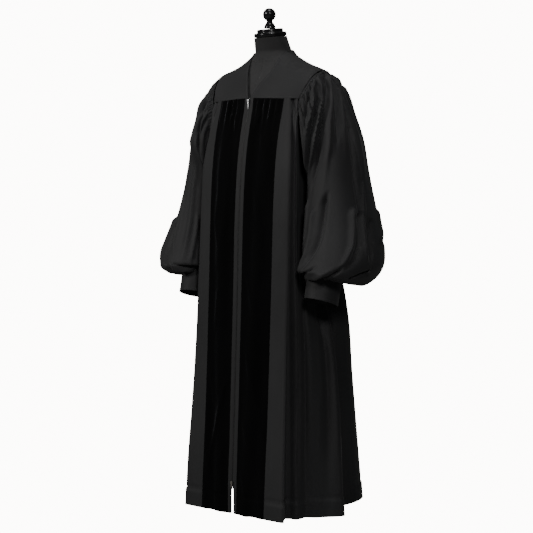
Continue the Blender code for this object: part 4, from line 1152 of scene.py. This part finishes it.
def outward(points, quads):
    """The quads, turned over if the solid's volume comes out below zero."""
    a, b, c, d = (points[quads[:, k]] for k in range(4))
    volume = np.einsum("ij,ij->", a, np.cross(b, c)) + np.einsum("ij,ij->", a, np.cross(c, d))
    return quads if volume > 0 else quads[:, ::-1]


def mirrored(points):
    """The same points on the wearer's other side."""
    return points * np.array([-1.0, 1.0, 1.0])


def cloth_area(grid, closed=False):
    """The area of a grid of points, in square metres."""
    if closed:
        grid = np.concatenate([grid, grid[:, :1]], axis=1)
    a = grid[1:, :-1] - grid[:-1, :-1]
    b = grid[:-1, 1:] - grid[:-1, :-1]
    c = grid[:-1, 1:] - grid[1:, 1:]
    d = grid[1:, :-1] - grid[1:, 1:]
    upper = np.linalg.norm(np.cross(a, b), axis=2).sum()
    lower = np.linalg.norm(np.cross(c, d), axis=2).sum()
    return 0.5 * (upper + lower)


# The pieces of cloth, each with its area
sheets = {}


def shell(name, grid, thick, shader, closed=False, square=(), mirror=False):
    """A shell piece that replaces the solid of its name, noted with its area as a sheet of cloth."""
    points, quads = shell_mesh(grid, thick, closed, square)
    if mirror:
        points = mirrored(points)
    quads = outward(points, quads)
    made = new_piece("visual_" + name, points, quads.tolist(), shader)
    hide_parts(name)
    sheets[name] = (made, cloth_area(grid, closed))


def push(grid, height, closed=False):
    """The grid with its points moved along its normals."""
    return grid + normals(grid, closed) * height[..., None]


def push_towards(grid, height, way):
    """The grid with its points moved along its normals, towards the front (-1) or the back (1)."""
    faces = 1 if float(normals(grid)[..., 1].mean()) > 0 else -1
    return push(grid, height * (faces * way))


def edge_fade(distance, width):
    """0 at an edge, rising softly to 1 at the distance `width`."""
    return smooth_step(distance / width)


def side_fade(across, near, far):
    """The fade at the first and the last column."""
    return edge_fade(across, near) * edge_fade(across[:, -1:] - across, far)


def hem_relief(across, height):
    """The turned hem: a faint step under its stitches, which pull little puckers."""
    up = height - HEM_Z
    step = 0.0020 * smooth_step((HEM_STITCH_UP + 0.003 - up) / 0.005)
    groove = -0.0030 * np.exp(-((up - HEM_STITCH_UP - 0.001) / 0.0026) ** 2)
    pull = np.zeros(across.shape)
    for place, half, tall in HEM_PUCKERS:
        lean = place + 0.10 * (up - HEM_STITCH_UP)
        below = np.exp(-((up - HEM_STITCH_UP + 0.006) / 0.020) ** 2)
        pull += tall * np.exp(-((across - lean) / half) ** 2) * below
    return step + groove + pull


# The points and faces of the stitches of each colour
threads = {"dark": [[], []], "velvet": [[], []], "jersey": [[], []]}
THREAD_HALF = 0.00040


def stitches(line, out, kind, length=0.0030, gap=0.0012):
    """Single stitches along a line of points, each a small four-sided bead that lies on the cloth."""
    path = np.asarray(line, float)
    out = np.asarray(out, float)
    run = np.concatenate([[0.0], np.cumsum(np.linalg.norm(np.diff(path, axis=0), axis=1))])
    place = gap
    while place + length < run[-1]:
        ends = []
        for at in (place, place + length * 0.5, place + length):
            centre = np.array([np.interp(at, run, path[:, k]) for k in range(3)])
            normal = np.array([np.interp(at, run, out[:, k]) for k in range(3)])
            ends.append((centre, normal / np.linalg.norm(normal)))
        forward = ends[2][0] - ends[0][0]
        forward /= np.linalg.norm(forward)
        side_way = np.cross(forward, ends[1][1])
        points, faces = threads[kind]
        base = len(points)
        for share, wide in ((0.0, 0.35), (0.5, 1.0), (1.0, 0.35)):
            centre = ends[0][0] + (ends[2][0] - ends[0][0]) * share
            normal = ends[1][1]
            rise = THREAD_HALF * (0.55 if wide == 1.0 else 0.0)
            for k in range(4):
                turn = math.tau * k / 4
                points.append(centre + normal * (rise + THREAD_HALF * wide * math.sin(turn))
                              + side_way * THREAD_HALF * wide * math.cos(turn))
        faces += tube_faces(base, 3, 4)
        place += length + gap


def stitch_row(grid, row_pick, thick, kind, mirror=False):
    """A line of stitches along picked points of a grid, on its outer face."""
    out = row_pick(normals(grid))
    line = row_pick(grid) + out * thick / 2
    if mirror:
        line, out = mirrored(line), mirrored(out)
    stitches(line, out, kind)


def at_height(field, heights, level):
    """A line across a grid at one height, taken between its rows, column by column."""
    found = []
    for j in range(field.shape[1]):
        found.append([np.interp(level, heights[::-1, j], field[::-1, j, k]) for k in range(3)])
    return np.array(found)


def hem_stitches(grid, heights, thick, kind, mirror):
    """The stitches of the turned hem."""
    stitch_row(grid, lambda g: at_height(g, heights, HEM_Z + HEM_STITCH_UP), thick, kind, mirror)


cloth_shader = material("robe cloth", CLOTH_COLOUR, 0.68, 0.18, (6.0, 4.0, 0.35, 0.80, 1.22),
                        [(900.0, 2.0, 0.4, 0.18, 0.00020), (16.0, 3.0, 0.3, 0.22, 0.0030)],
                        twill=(0.0007, 0.22, 0.00012), inputs={"Sheen Weight": 0.03, "Sheen Roughness": 0.5})
velvet_shader = material("velvet", VELVET_COLOUR, 0.90, 0.05, (14.0, 5.0, 0.18, 0.6, 1.8, 0.35, 0.75),
                         [(1400.0, 2.0, 1.0, 0.35, 0.00035), (30.0, 4.0, 0.15, 0.12, 0.0030)],
                         inputs={"Sheen Weight": 0.10, "Sheen Roughness": 0.30,
                                 "Sheen Tint": (0.80, 0.82, 0.88, 1.0)})
jersey_shader = material("jersey", JERSEY_COLOUR, 0.74, 0.20, (5.0, 3.0, 1.0, 0.88, 1.12),
                         [(1100.0, 2.0, 0.55, 0.30, 0.00025)],
                         inputs={"Sheen Weight": 0.06, "Sheen Roughness": 0.5})
lacquer_shader = material("black lacquer", (0.0040, 0.0040, 0.0045), 0.22, 0.16,
                          (120.0, 2.0, 0.2, (0.0035, 0.0035, 0.0040), (0.0060, 0.0060, 0.0065)),
                          [(45.0, 2.0, 1.0, 0.05, 0.0006)],
                          inputs={"Coat Weight": 0.16, "Coat Roughness": 0.07})
zip_shader = metal("zip nickel", (0.60, 0.60, 0.61), 0.26)
# The lower slider's metal is the zip's nickel made darker: painted shade
darkened_zip_shader = metal("darkened zip nickel", (0.20, 0.185, 0.165), 0.45)
stand_shader = metal("stand paint", (0.05, 0.05, 0.052), 0.42)
thread_shader = thread("thread", THREAD_COLOUR)
velvet_thread_shader = thread("velvet thread", VELVET_THREAD_COLOUR)
# Near-black thread for the form's seams: painted shade of their grooves
seam_shade_shader = thread("form seam painted shade", SEAM_SHADE_COLOUR)
teeth_shader = material("zip teeth", (0.006, 0.006, 0.006), 0.40, 0.35,
                        (600.0, 1.0, 1.0, (0.004, 0.004, 0.004), (0.009, 0.009, 0.009)))
SIDES = (("left", False), ("right", True))
# Where a shell is cut square: rows, columns and the axis that its normals leave out there
FLAT_ENDS = [(0, slice(None), 2), (-1, slice(None), 2)]
FLAT_FIRST = [(slice(None), 0, 0)]
FLAT_LAST = [(slice(None), -1, 0)]


# The yokes
def yoke_edges(across, down):
    """The fade at all four edges of a yoke."""
    return side_fade(across, 0.02, 0.02) * edge_fade(down, 0.02) * edge_fade(down[-1:] - down, 0.02)


yoke = finer(yoke_grid(), 60, 60)
across, down = run_across(yoke), run_down(yoke)
uneven = 0.0006 * np.sin(across * 46.0 + down * 31.0) * np.sin(down * 24.0 + 0.7)
inside = yoke_edges(across, down)
neck_roll = 0.0007 * np.exp(-(across / 0.0022) ** 2) - 0.0004 * np.exp(-((across - 0.0050) / 0.0016) ** 2)
neck_roll = neck_roll * edge_fade(down, 0.01) * edge_fade(down[-1:] - down, 0.01)
for side_name, flip in SIDES:
    grid = push(yoke, inside * uneven * (1.0 if flip else -0.8) + neck_roll)
    shell("yoke_front_" + side_name, grid, CLOTH, cloth_shader,
          square=[(0, slice(None), 2), (-1, slice(None), 1)], mirror=flip)
    stitch_row(grid, lambda g: 0.6 * g[2] + 0.4 * g[1], CLOTH, "dark", flip)
    stitch_row(grid, lambda g: g[:, 2], CLOTH, "dark", flip)
    stitch_row(grid, lambda g: g[:, -3] * 0.5 + g[:, -2] * 0.5, CLOTH, "dark", flip)

back_yoke_coarse, arm_columns = back_yoke_grid()
back_yoke = finer(back_yoke_coarse, 30, 110)
across, down = run_across(back_yoke), run_down(back_yoke)
inside = yoke_edges(across, down)
grid = push(back_yoke, inside * 0.0006 * np.sin(across * 38.0 + 0.6) * np.sin(down * 30.0))
seam_from = arm_columns / (back_yoke_coarse.shape[1] - 1)
seam_first = int(round(seam_from * (grid.shape[1] - 1)))
shell("yoke_back", grid, CLOTH, cloth_shader,
      square=[(slice(None), 0, 1), (slice(None), -1, 1), (-1, slice(seam_first, -seam_first), 2)])
stitch_row(grid, lambda g: g[-3] * 0.6 + g[-2] * 0.4, CLOTH, "dark")
stitch_row(grid, lambda g: g[1] * 0.5 + g[2] * 0.5, CLOTH, "dark")

# The bands beside the zip, and the zip's tapes
fine_band, fine_tape = finer(band_grid(), 240, 18), finer(tape_grid(), 120, 4)
across = run_across(fine_band)
width = across[:, -1:]
roll = -0.0005 * np.exp(-(across / 0.0016) ** 2) - 0.0005 * np.exp(-((width - across) / 0.0016) ** 2)
seams = -0.0005 * sum(np.exp(-((across - share * width) / 0.0011) ** 2) for share in (0.24, 0.76))
grid = push_towards(fine_band, roll + seams, -1)
for side_name, flip in SIDES:
    shell("front_band_" + side_name, grid, CLOTH, cloth_shader, square=FLAT_ENDS, mirror=flip)
    stitch_row(grid, lambda g: g[:, 5], CLOTH, "dark", flip)
    stitch_row(grid, lambda g: g[:, -6], CLOTH, "dark", flip)
    shell("zip_tape_" + side_name, fine_tape, TAPE_THICK, cloth_shader,
          square=FLAT_ENDS, mirror=flip)

# The velvet panels, whose inner edge tucks under the band's, so that no light comes through the seam
VELVET_TUCK = 0.0004
velvet_base = finer(velvet_grid(), 200, 76)
u, v = velvet_base[..., 0], velvet_base[..., 2]
across = run_across(velvet_base)
edge = side_fade(across, 0.010, 0.010)
top = edge_fade(seam_z(0.06) - v, 0.010)
for (side_name, flip), table in zip(SIDES, (VELVET_LEFT_CREASES, VELVET_RIGHT_CREASES)):
    height = sum(crease(u, v, path, half, tall, 0.9, None, 0.12, 0.30) for path, half, tall in table)
    height = height * edge * top + hem_relief(u + (0.05 if flip else 0.0), v) * 0.8 * edge
    grid = push_towards(velvet_base, height, -1)
    inner = 0 if abs(grid[0, 0, 0]) < abs(grid[0, -1, 0]) else -1
    grid[:, inner, 0] -= VELVET_TUCK
    shell("velvet_panel_" + side_name, grid, VELVET_CLOTH, velvet_shader,
          square=FLAT_ENDS + FLAT_FIRST + FLAT_LAST, mirror=flip)
    hem_stitches(grid, v, VELVET_CLOTH, "velvet", flip)

# The side panels: on the right each crease is a little weaker or stronger, and sways
side_base = finer(side_grid(), 160, 88)
across, v = run_across(side_base), side_base[..., 2]
edge = side_fade(across, 0.008, 0.012) * edge_fade(run_down(side_base), 0.010)
for side_name, flip in SIDES:
    height = np.zeros(v.shape)
    for k, (path, half, tall) in enumerate(SIDE_CREASES):
        if flip:
            path = [(a + 0.004 * math.sin(3.0 * k + b * 2.0), b) for a, b in path]
            tall = tall * (0.75 if k % 2 else 1.15)
        height += crease(across, v, path, half, tall)
    height = height * edge + hem_relief(across, v) * edge
    grid = push_towards(side_base, height, -1)
    shell("front_side_" + side_name, grid, CLOTH, cloth_shader,
          square=FLAT_ENDS + FLAT_FIRST, mirror=flip)
    hem_stitches(grid, v, CLOTH, "dark", flip)
    stitch_row(grid, lambda g: g[:, 1], CLOTH, "dark", flip)

# The back, varied in the same way, with its gathers below the yoke
back_base = finer(back_grid(), 130, 110)
across, v = run_across(back_base), back_base[..., 2]
edge = side_fade(across, 0.012, 0.006) * edge_fade(run_down(back_base), 0.008)
for side_name, flip in SIDES:
    height = np.zeros(v.shape)
    for k, (path, half, tall) in enumerate(BACK_CREASES):
        if flip:
            path = [(a + 0.010 * math.sin(2.0 * k), b - 0.03 * math.cos(k)) for a, b in path]
            tall = tall * (0.8 if k % 2 else 1.2)
        height += crease(across, v, path, half, tall)
    sway = -1.0 if flip else 1.0
    for x, drift, half, tall, length in BACK_GATHERS:
        path = [(x, GATHER_TOP_Z), (x + sway * drift, GATHER_TOP_Z - length),
                (x + sway * drift * 1.4, GATHER_TOP_Z - 1.8 * length)]
        height += crease(back_base[..., 0], v, path, half, tall, 1.0, None, 0.06, 0.6) \
            * (back_base[..., 1] > 0.08)
    height = height * edge + hem_relief(across, v) * edge
    grid = push_towards(back_base, height, 1)
    shell("back_panel_" + side_name, grid, CLOTH, cloth_shader,
          square=FLAT_ENDS + FLAT_LAST, mirror=flip)
    hem_stitches(grid, v, CLOTH, "dark", flip)

# The sleeves, their shirred heads and the cuffs
sleeve_coarse, head_coarse = sleeve_grids()
sleeve_base = finer(sleeve_coarse, 124, 284, closed=True)
head_base = finer(head_coarse, 14, 570, closed=True)


def turn_of(coarse, fine, total):
    """The turn of each fine column, out of about `total` steps."""
    counts = step_counts(spacing(coarse, 1, True), total)
    found = [(i + k / steps) / len(counts) for i, steps in enumerate(counts) for k in range(steps)]
    return np.array(found[:fine.shape[1]])


def shirr(turn, metres_round):
    """The fine ribs of the shirring, of uneven width and height."""
    count = int(metres_round / SHIRR_STEP)
    place = turn * count
    warp = 0.28 * np.sin(math.tau * turn * 7) + 0.22 * np.sin(math.tau * turn * 17 + 1.0)
    tall = np.array([SHIRR_UNEVEN[int(k) % len(SHIRR_UNEVEN)] for k in np.floor(place + warp) % count])
    return np.abs(np.sin(math.pi * (place + warp))) ** 0.8 * tall


def outward_sign(grid):
    """1 where the normals of a tube point away from its middle line, or -1."""
    middle = grid.mean(axis=1, keepdims=True)
    return 1.0 if np.einsum("ijk,ijk->", normals(grid, True), grid - middle) > 0 else -1.0


def way_round(turn, run):
    """A path's point on the sleeve, in metres round and down."""
    return (turn * TURN_METRES, run)


def sleeve_crease(path, half, tall, head, tail):
    """A crease on the sleeve, whose path may cross the shoulder's tip."""
    return crease(round_metres, run, path, half, tall, 1.0, TURN_METRES, head, tail)


sleeve_turn = turn_of(sleeve_coarse, sleeve_base, SLEEVE_TURN_STEPS)
head_turn = turn_of(head_coarse, head_base, HEAD_TURN_STEPS)

# The shirred head, with three rows of gathering stitches pressed in
GATHER_LINES = (0.22, 0.45, 0.68)
run = run_down(head_base)
share = run / run[-1:]
belly = 0.35 + 0.65 * np.sin(math.pi * np.clip(share, 0.0, 1.0)) ** 0.5
height = (0.0022 * shirr(head_turn, TURN_METRES) - 0.0008) * belly * edge_fade(run, 0.003)
for line in GATHER_LINES:
    height -= 0.0009 * np.exp(-((share - line) / 0.035) ** 2)
head_grid = push(head_base, height * outward_sign(head_base), True)

run = run_down(sleeve_base)
left = run[-1:] - run
round_metres = np.broadcast_to(sleeve_turn * TURN_METRES, run.shape)
fade_top = edge_fade(run, 0.005) * 0.75 + 0.25
fade_low = edge_fade(left, 0.006)
calm_width = np.exp(-((sleeve_turn - CALM_TURN) / CALM_HALF) ** 2)
calm = 1.0 - OUTER_CALM * calm_width * smooth_step((left - 0.03) / 0.08)
for (side_name, flip), table in zip(SIDES, (SLEEVE_LEFT_CREASES, SLEEVE_RIGHT_CREASES)):
    height = np.zeros(run.shape)
    for path, half, tall in table:
        height += sleeve_crease([way_round(a, b) for a, b in unwrap(path)], half, tall, 0.10, 0.38)
    sway = -1.0 if flip else 1.0
    for turn, drift, half, tall, length in CUFF_GATHERS:
        end = float(np.interp(turn, sleeve_turn, run[-1]))
        path = [way_round(turn + sway * drift * 2, end - length), way_round(turn, end - 0.004)]
        height += sleeve_crease(path, half, tall, 0.55, 0.08)
    sway = 0.7 if flip else 1.0
    for turn, drift, half, tall, length in HEAD_GATHERS:
        path = [way_round(turn, 0.0), way_round(turn + sway * drift * 0.4, length * 0.45),
                way_round(turn + sway * drift, length * (1.15 if flip else 1.0))]
        strength = 0.6 if flip and turn < 0.4 else 1.0
        height += sleeve_crease(path, half, tall * strength, 0.08, 0.60)
    height = np.clip(height, FOLD_LOW, FOLD_HIGH) * fade_top * fade_low * calm
    grid = push(sleeve_base, height * outward_sign(sleeve_base), True)
    shell("sleeve_" + side_name, grid, CLOTH, cloth_shader, closed=True, mirror=flip)
    shell("sleeve_head_" + side_name, head_grid, CLOTH, cloth_shader, closed=True, mirror=flip)

# The cuffs: the way round the cuff, its two creases, and the row of points that its stitches follow
CUFF_ROUND = 0.33
CUFF_CREASES = creases([(45, 12, 60, 4, 66, 40), (50, -10, 28, 4, 24, 50)])
CUFF_STITCH_ROW = 3
cuff_base = finer(cuff_grid(), 36, 88, closed=True)
run = run_down(cuff_base)
left = run[-1:] - run
turn = np.broadcast_to(np.arange(cuff_base.shape[1]) / cuff_base.shape[1], run.shape)
sign = outward_sign(cuff_base)
for side_name, flip in SIDES:
    sway = np.sin(math.tau * (2 * turn + 0.3 + (0.2 if flip else 0.0)))
    height = 0.0010 * sway * np.sin(math.pi * run / run[-1:])
    for path, half, tall in CUFF_CREASES:
        height += crease(turn * CUFF_ROUND, run, path, half, tall, 1.0, CUFF_ROUND)
    height += 0.0005 * np.exp(-((run - 0.003) / 0.003) ** 2) \
        + 0.0005 * np.exp(-((left - 0.003) / 0.003) ** 2)
    grid = push(cuff_base, height * edge_fade(run, 0.002) * sign, True)
    shell("cuff_" + side_name, grid, CLOTH, cloth_shader, closed=True, square=FLAT_ENDS, mirror=flip)
    normal = normals(grid, True) * sign
    for row in (CUFF_STITCH_ROW, grid.shape[0] - CUFF_STITCH_ROW - 1):
        out = np.vstack([normal[row], normal[row, :1]])
        line = np.vstack([grid[row], grid[row, :1]]) + out * CLOTH / 2
        stitches(mirrored(line) if flip else line, mirrored(out) if flip else out, "dark")


# The zip: its teeth down the gap between the bands, and the two sliders
def block(points, faces, centre, half, taper=0.85):
    """A small block with a bevelled front, added to a joined mesh."""
    base = len(points)
    for y, wide in ((1, 1.0), (-0.4, 1.0), (-1, taper)):
        for sx, sz in ((-1, -1), (1, -1), (1, 1), (-1, 1)):
            points.append((centre[0] + half[0] * wide * sx, centre[1] + half[1] * y,
                           centre[2] + half[2] * wide * sz))
    faces += tube_faces(base, 3, 4, turned=True)


points, faces = [], []
z = TEETH_TOP
while z > SLIT_TOP_Z + TEETH_CLEAR:
    for side_way, level in ((1, z), (-1, z - TEETH_PITCH / 2)):
        place = (side_way * 0.0007, front_y(0.0, level) + 0.0002, level)
        block(points, faces, place, (0.0013, 0.0008, 0.00052))
    z -= TEETH_PITCH
z = SLIT_TOP_Z - 0.002
while z > HEM_Z + TEETH_CLEAR:
    inner = slit_inner(z, 0.0005) - 0.0004
    for side_way in (1, -1):
        place = (side_way * inner, front_y(0.0, z) + CLOTH / 2 + SEAM + TAPE_THICK / 2, z)
        block(points, faces, place, (0.0010, 0.0008, 0.00052))
    z -= TEETH_PITCH
new_piece("zip_teeth", np.array(points), faces, teeth_shader, 30.0)


def rounded(name, half_z, size, middle, power, shader):
    """A flat metal piece: a rounded outline in x and z with its edges rounded, given its depth along y."""
    outline = oval(size[0] / 2, half_z, power)
    points = []
    for y, shrink in ((0.5, 0.86), (0.38, 0.97), (0.2, 1.0), (-0.2, 1.0), (-0.38, 0.97), (-0.5, 0.86)):
        points += [(middle[0] + x * shrink, middle[1] + size[1] * y, middle[2] + z * shrink)
                   for x, z in outline]
    faces = tube_faces(0, 6, len(outline))
    made = new_piece("visual_" + name, np.array(points), faces, shader, 40.0)
    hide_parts(name)


def oval(half_x, half_z, power, count=32):
    """The points of a rounded rectangle, squarer where the power is higher."""
    points = []
    for k in range(count):
        turn = math.tau * k / count
        c, s = math.cos(turn), math.sin(turn)
        points.append((half_x * math.copysign(abs(c) ** (2 / power), c),
                       half_z * math.copysign(abs(s) ** (2 / power), s)))
    return points


def middle_and_size(name):
    """The middle and the size of a solid's box."""
    low, high = (np.array(corner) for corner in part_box(name))
    return (low + high) / 2, high - low


# The depth of a pull
PULL_DEPTH = 0.0014
# The lower slider and its pull take the darker copy of the nickel, painted shade
for name, shader in (("zip_slider_top", zip_shader), ("zip_slider_bottom", darkened_zip_shader)):
    middle, size = middle_and_size(name)
    rounded(name, size[2] / 2, size, middle, 3.2, shader)
    middle, size = middle_and_size(name + "_pull")
    rounded(name + "_pull", size[2] / 2, (size[0] * 0.92, PULL_DEPTH), middle, 2.8, shader)

# The dress form: body and neck, covered in jersey with a seam round the neck's base and one down the front
# The neck's seam and its stitches, as height at the sides and rise to the back
NECK_SEAM = (1.4475, 0.0135)
NECK_STITCHES = (1.4375, 0.0165)
# The lowest and the highest stitch down the front, and a stitch's length and gap
FRONT_STITCHES = (1.20, 1.420)
SEAM_STITCH = (0.0040, 0.0002)
fine_form = finer(form_rows(), 130, 132, closed=True)
turn = np.broadcast_to(np.arange(fine_form.shape[1]) / fine_form.shape[1], fine_form.shape[:2])
z = fine_form[..., 2]
seam_line = NECK_SEAM[0] - NECK_SEAM[1] * np.cos(math.tau * turn)
groove = -0.0016 * np.exp(-((z - seam_line) / 0.0016) ** 2)
front = np.minimum(turn, 1 - turn) * 2 * math.pi * 0.10
groove += -0.0014 * np.exp(-(front / 0.0013) ** 2) * (z < seam_line)
fine_form = push(fine_form, groove * outward_sign(fine_form), True)
rows, cols = fine_form.shape[:2]
points = fine_form.reshape(-1, 3)
quads = outward(points, grid_quads(rows, cols, True)[1]).tolist()
caps = [tuple(range(cols)), tuple(reversed(range((rows - 1) * cols, rows * cols)))]
made = new_piece("visual_form_body", points, quads + caps, jersey_shader, 60.0)
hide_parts("form_body")
normal = normals(fine_form, True) * outward_sign(fine_form)
neck_line, neck_out = [], []
for j in range(cols + 1):
    k = j % cols
    level = NECK_STITCHES[0] - NECK_STITCHES[1] * math.cos(math.tau * k / cols)
    for field, found in ((fine_form, neck_line), (normal, neck_out)):
        found.append([np.interp(level, z[:, k], field[:, k, i]) for i in range(3)])
# The near-black, almost unbroken stitches draw both seams as dark lines: painted shade of the grooves, on
# real stitches
stitches(neck_line, neck_out, "jersey", *SEAM_STITCH)
down_front = (z[:, 0] > FRONT_STITCHES[0]) & (z[:, 0] < FRONT_STITCHES[1])
stitches(fine_form[down_front, 0], normal[down_front, 0], "jersey", *SEAM_STITCH)

# The stitches, joined by colour
for kind, shader, slot_name in (("dark", thread_shader, "cloth"), ("velvet", velvet_thread_shader, "velvet"),
                                ("jersey", seam_shade_shader, "jersey")):
    points, faces = threads[kind]
    new_piece("stitches_" + kind, np.array(points), faces, shader)


# The turned cap and finial, in lacquer
def lathe(name, profile, place, tilt, steps=96):
    """A finely turned piece of lacquer: a smooth outline spun round, with its turned edges kept."""
    path = np.array([(radius, 0.0, height) for radius, height in profile])
    lengths = np.linalg.norm(np.diff(path, axis=0), axis=1)
    matrix, _ = blend_matrix(np.concatenate([[0.0], np.cumsum(lengths ** 0.5)]), [5] * len(lengths))
    line = matrix @ path
    line[:, 0] = np.maximum(line[:, 0], 0.0)
    cos, sin = math.cos(tilt), math.sin(tilt)
    points = []
    for radius, _, height in line[1:-1]:
        for k in range(steps):
            turn = math.tau * k / steps
            x, y = radius * math.cos(turn), radius * math.sin(turn)
            points.append((place[0] + x, place[1] + y * cos - height * sin,
                           place[2] + y * sin + height * cos))
    faces = tube_faces(0, len(line) - 2, steps, turned=True)
    made = new_piece("visual_" + name, np.array(points), faces, lacquer_shader, 35.0)
    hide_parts(name)


lathe("neck_cap", CAP_PROFILE, NECK_TOP, math.radians(NECK_TILT_DEG))
lathe("finial", FINIAL_PROFILE, FINIAL_FOOT, math.radians(FINIAL_TILT_DEG))

# The stand keeps its solids, painted
for name in ("stand_pole", "stand_foot"):
    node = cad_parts[name]
    node.data.materials.clear()
    node.data.materials.append(stand_shader)

# The sheets of cloth, each with the size it is cut to
for name, (piece, area) in sheets.items():
    width, length, held, rests = CUTS[name.replace("_left", "").replace("_right", "")]
    print("sheet", name, round(area, 4), "of", round(width * length, 4))


# The floor, the light and the camera
def seen_by_camera(tree, usual, seen, output):
    """One shader for the light that falls about, and another for what the camera sees."""
    path = tree.nodes.new("ShaderNodeLightPath")
    mix = tree.nodes.new("ShaderNodeMixShader")
    tree.links.new(path.outputs["Is Camera Ray"], mix.inputs["Fac"])
    tree.links.new(usual, mix.inputs[1])
    tree.links.new(seen, mix.inputs[2])
    tree.links.new(mix.outputs["Shader"], tree.nodes[output].inputs["Surface"])


floor_shader = bpy.data.materials.new("pale floor")
floor_shader.use_nodes = True
tree = floor_shader.node_tree
shader = tree.nodes["Principled BSDF"]
shader.inputs["Base Color"].default_value = (0.30, 0.30, 0.30, 1.0)
shader.inputs["Roughness"].default_value = 0.9
glow = tree.nodes.new("ShaderNodeEmission")
glow.inputs["Color"].default_value = BACKDROP_TINT
glow.inputs["Strength"].default_value = BACKDROP_GLOW
seen_by_camera(tree, shader.outputs["BSDF"], glow.outputs["Emission"], "Material Output")
mesh = bpy.data.meshes.new("floor")
corners = [(x * FLOOR_HALF, y * FLOOR_HALF, FLOOR_Z) for x, y in ((-1, -1), (1, -1), (1, 1), (-1, 1))]
mesh.from_pydata(corners, [], [(0, 1, 2, 3)])
mesh.materials.append(floor_shader)
floor = bpy.data.objects.new("floor", mesh)
bpy.context.scene.collection.objects.link(floor)

world = bpy.data.worlds.new("studio")
bpy.context.scene.world = world
world.use_nodes = True
tree = world.node_tree
back_light = tree.nodes["Background"]
back_light.inputs["Color"].default_value = BACKDROP_TINT
back_light.inputs["Strength"].default_value = BACKDROP_GLOW
dim = tree.nodes.new("ShaderNodeBackground")
dim.inputs["Color"].default_value = (0.95, 0.97, 1.0, 1.0)
dim.inputs["Strength"].default_value = WORLD_LIGHT
seen_by_camera(tree, dim.outputs["Background"], back_light.outputs["Background"], "World Output")


def area_light(name, place, aim, size, power, colour):
    """A rectangular lamp at a place, turned towards its aim."""
    data = bpy.data.lights.new(name, "AREA")
    data.shape = "RECTANGLE"
    data.size, data.size_y = size
    data.energy = power
    data.color = colour
    made = bpy.data.objects.new(name, data)
    made.location = place
    made.rotation_euler = (Vector(aim) - Vector(place)).to_track_quat("-Z", "Y").to_euler()
    bpy.context.scene.collection.objects.link(made)


for light in LIGHTS:
    area_light(*light)

camera_data = bpy.data.cameras.new("camera")
camera = bpy.data.objects.new("camera", camera_data)
bpy.context.scene.collection.objects.link(camera)
turn = math.radians(CAMERA_TURN_DEG)
camera.location = (CAMERA_AWAY * math.sin(turn), -CAMERA_AWAY * math.cos(turn), CAMERA_HEIGHT)
camera.rotation_euler = (math.pi / 2 - math.radians(CAMERA_DOWN_DEG), 0.0, turn)
camera_data.sensor_width = 36.0
camera_data.lens = CAMERA_LENS
camera_data.shift_x = CAMERA_SHIFT
bpy.context.scene.camera = camera
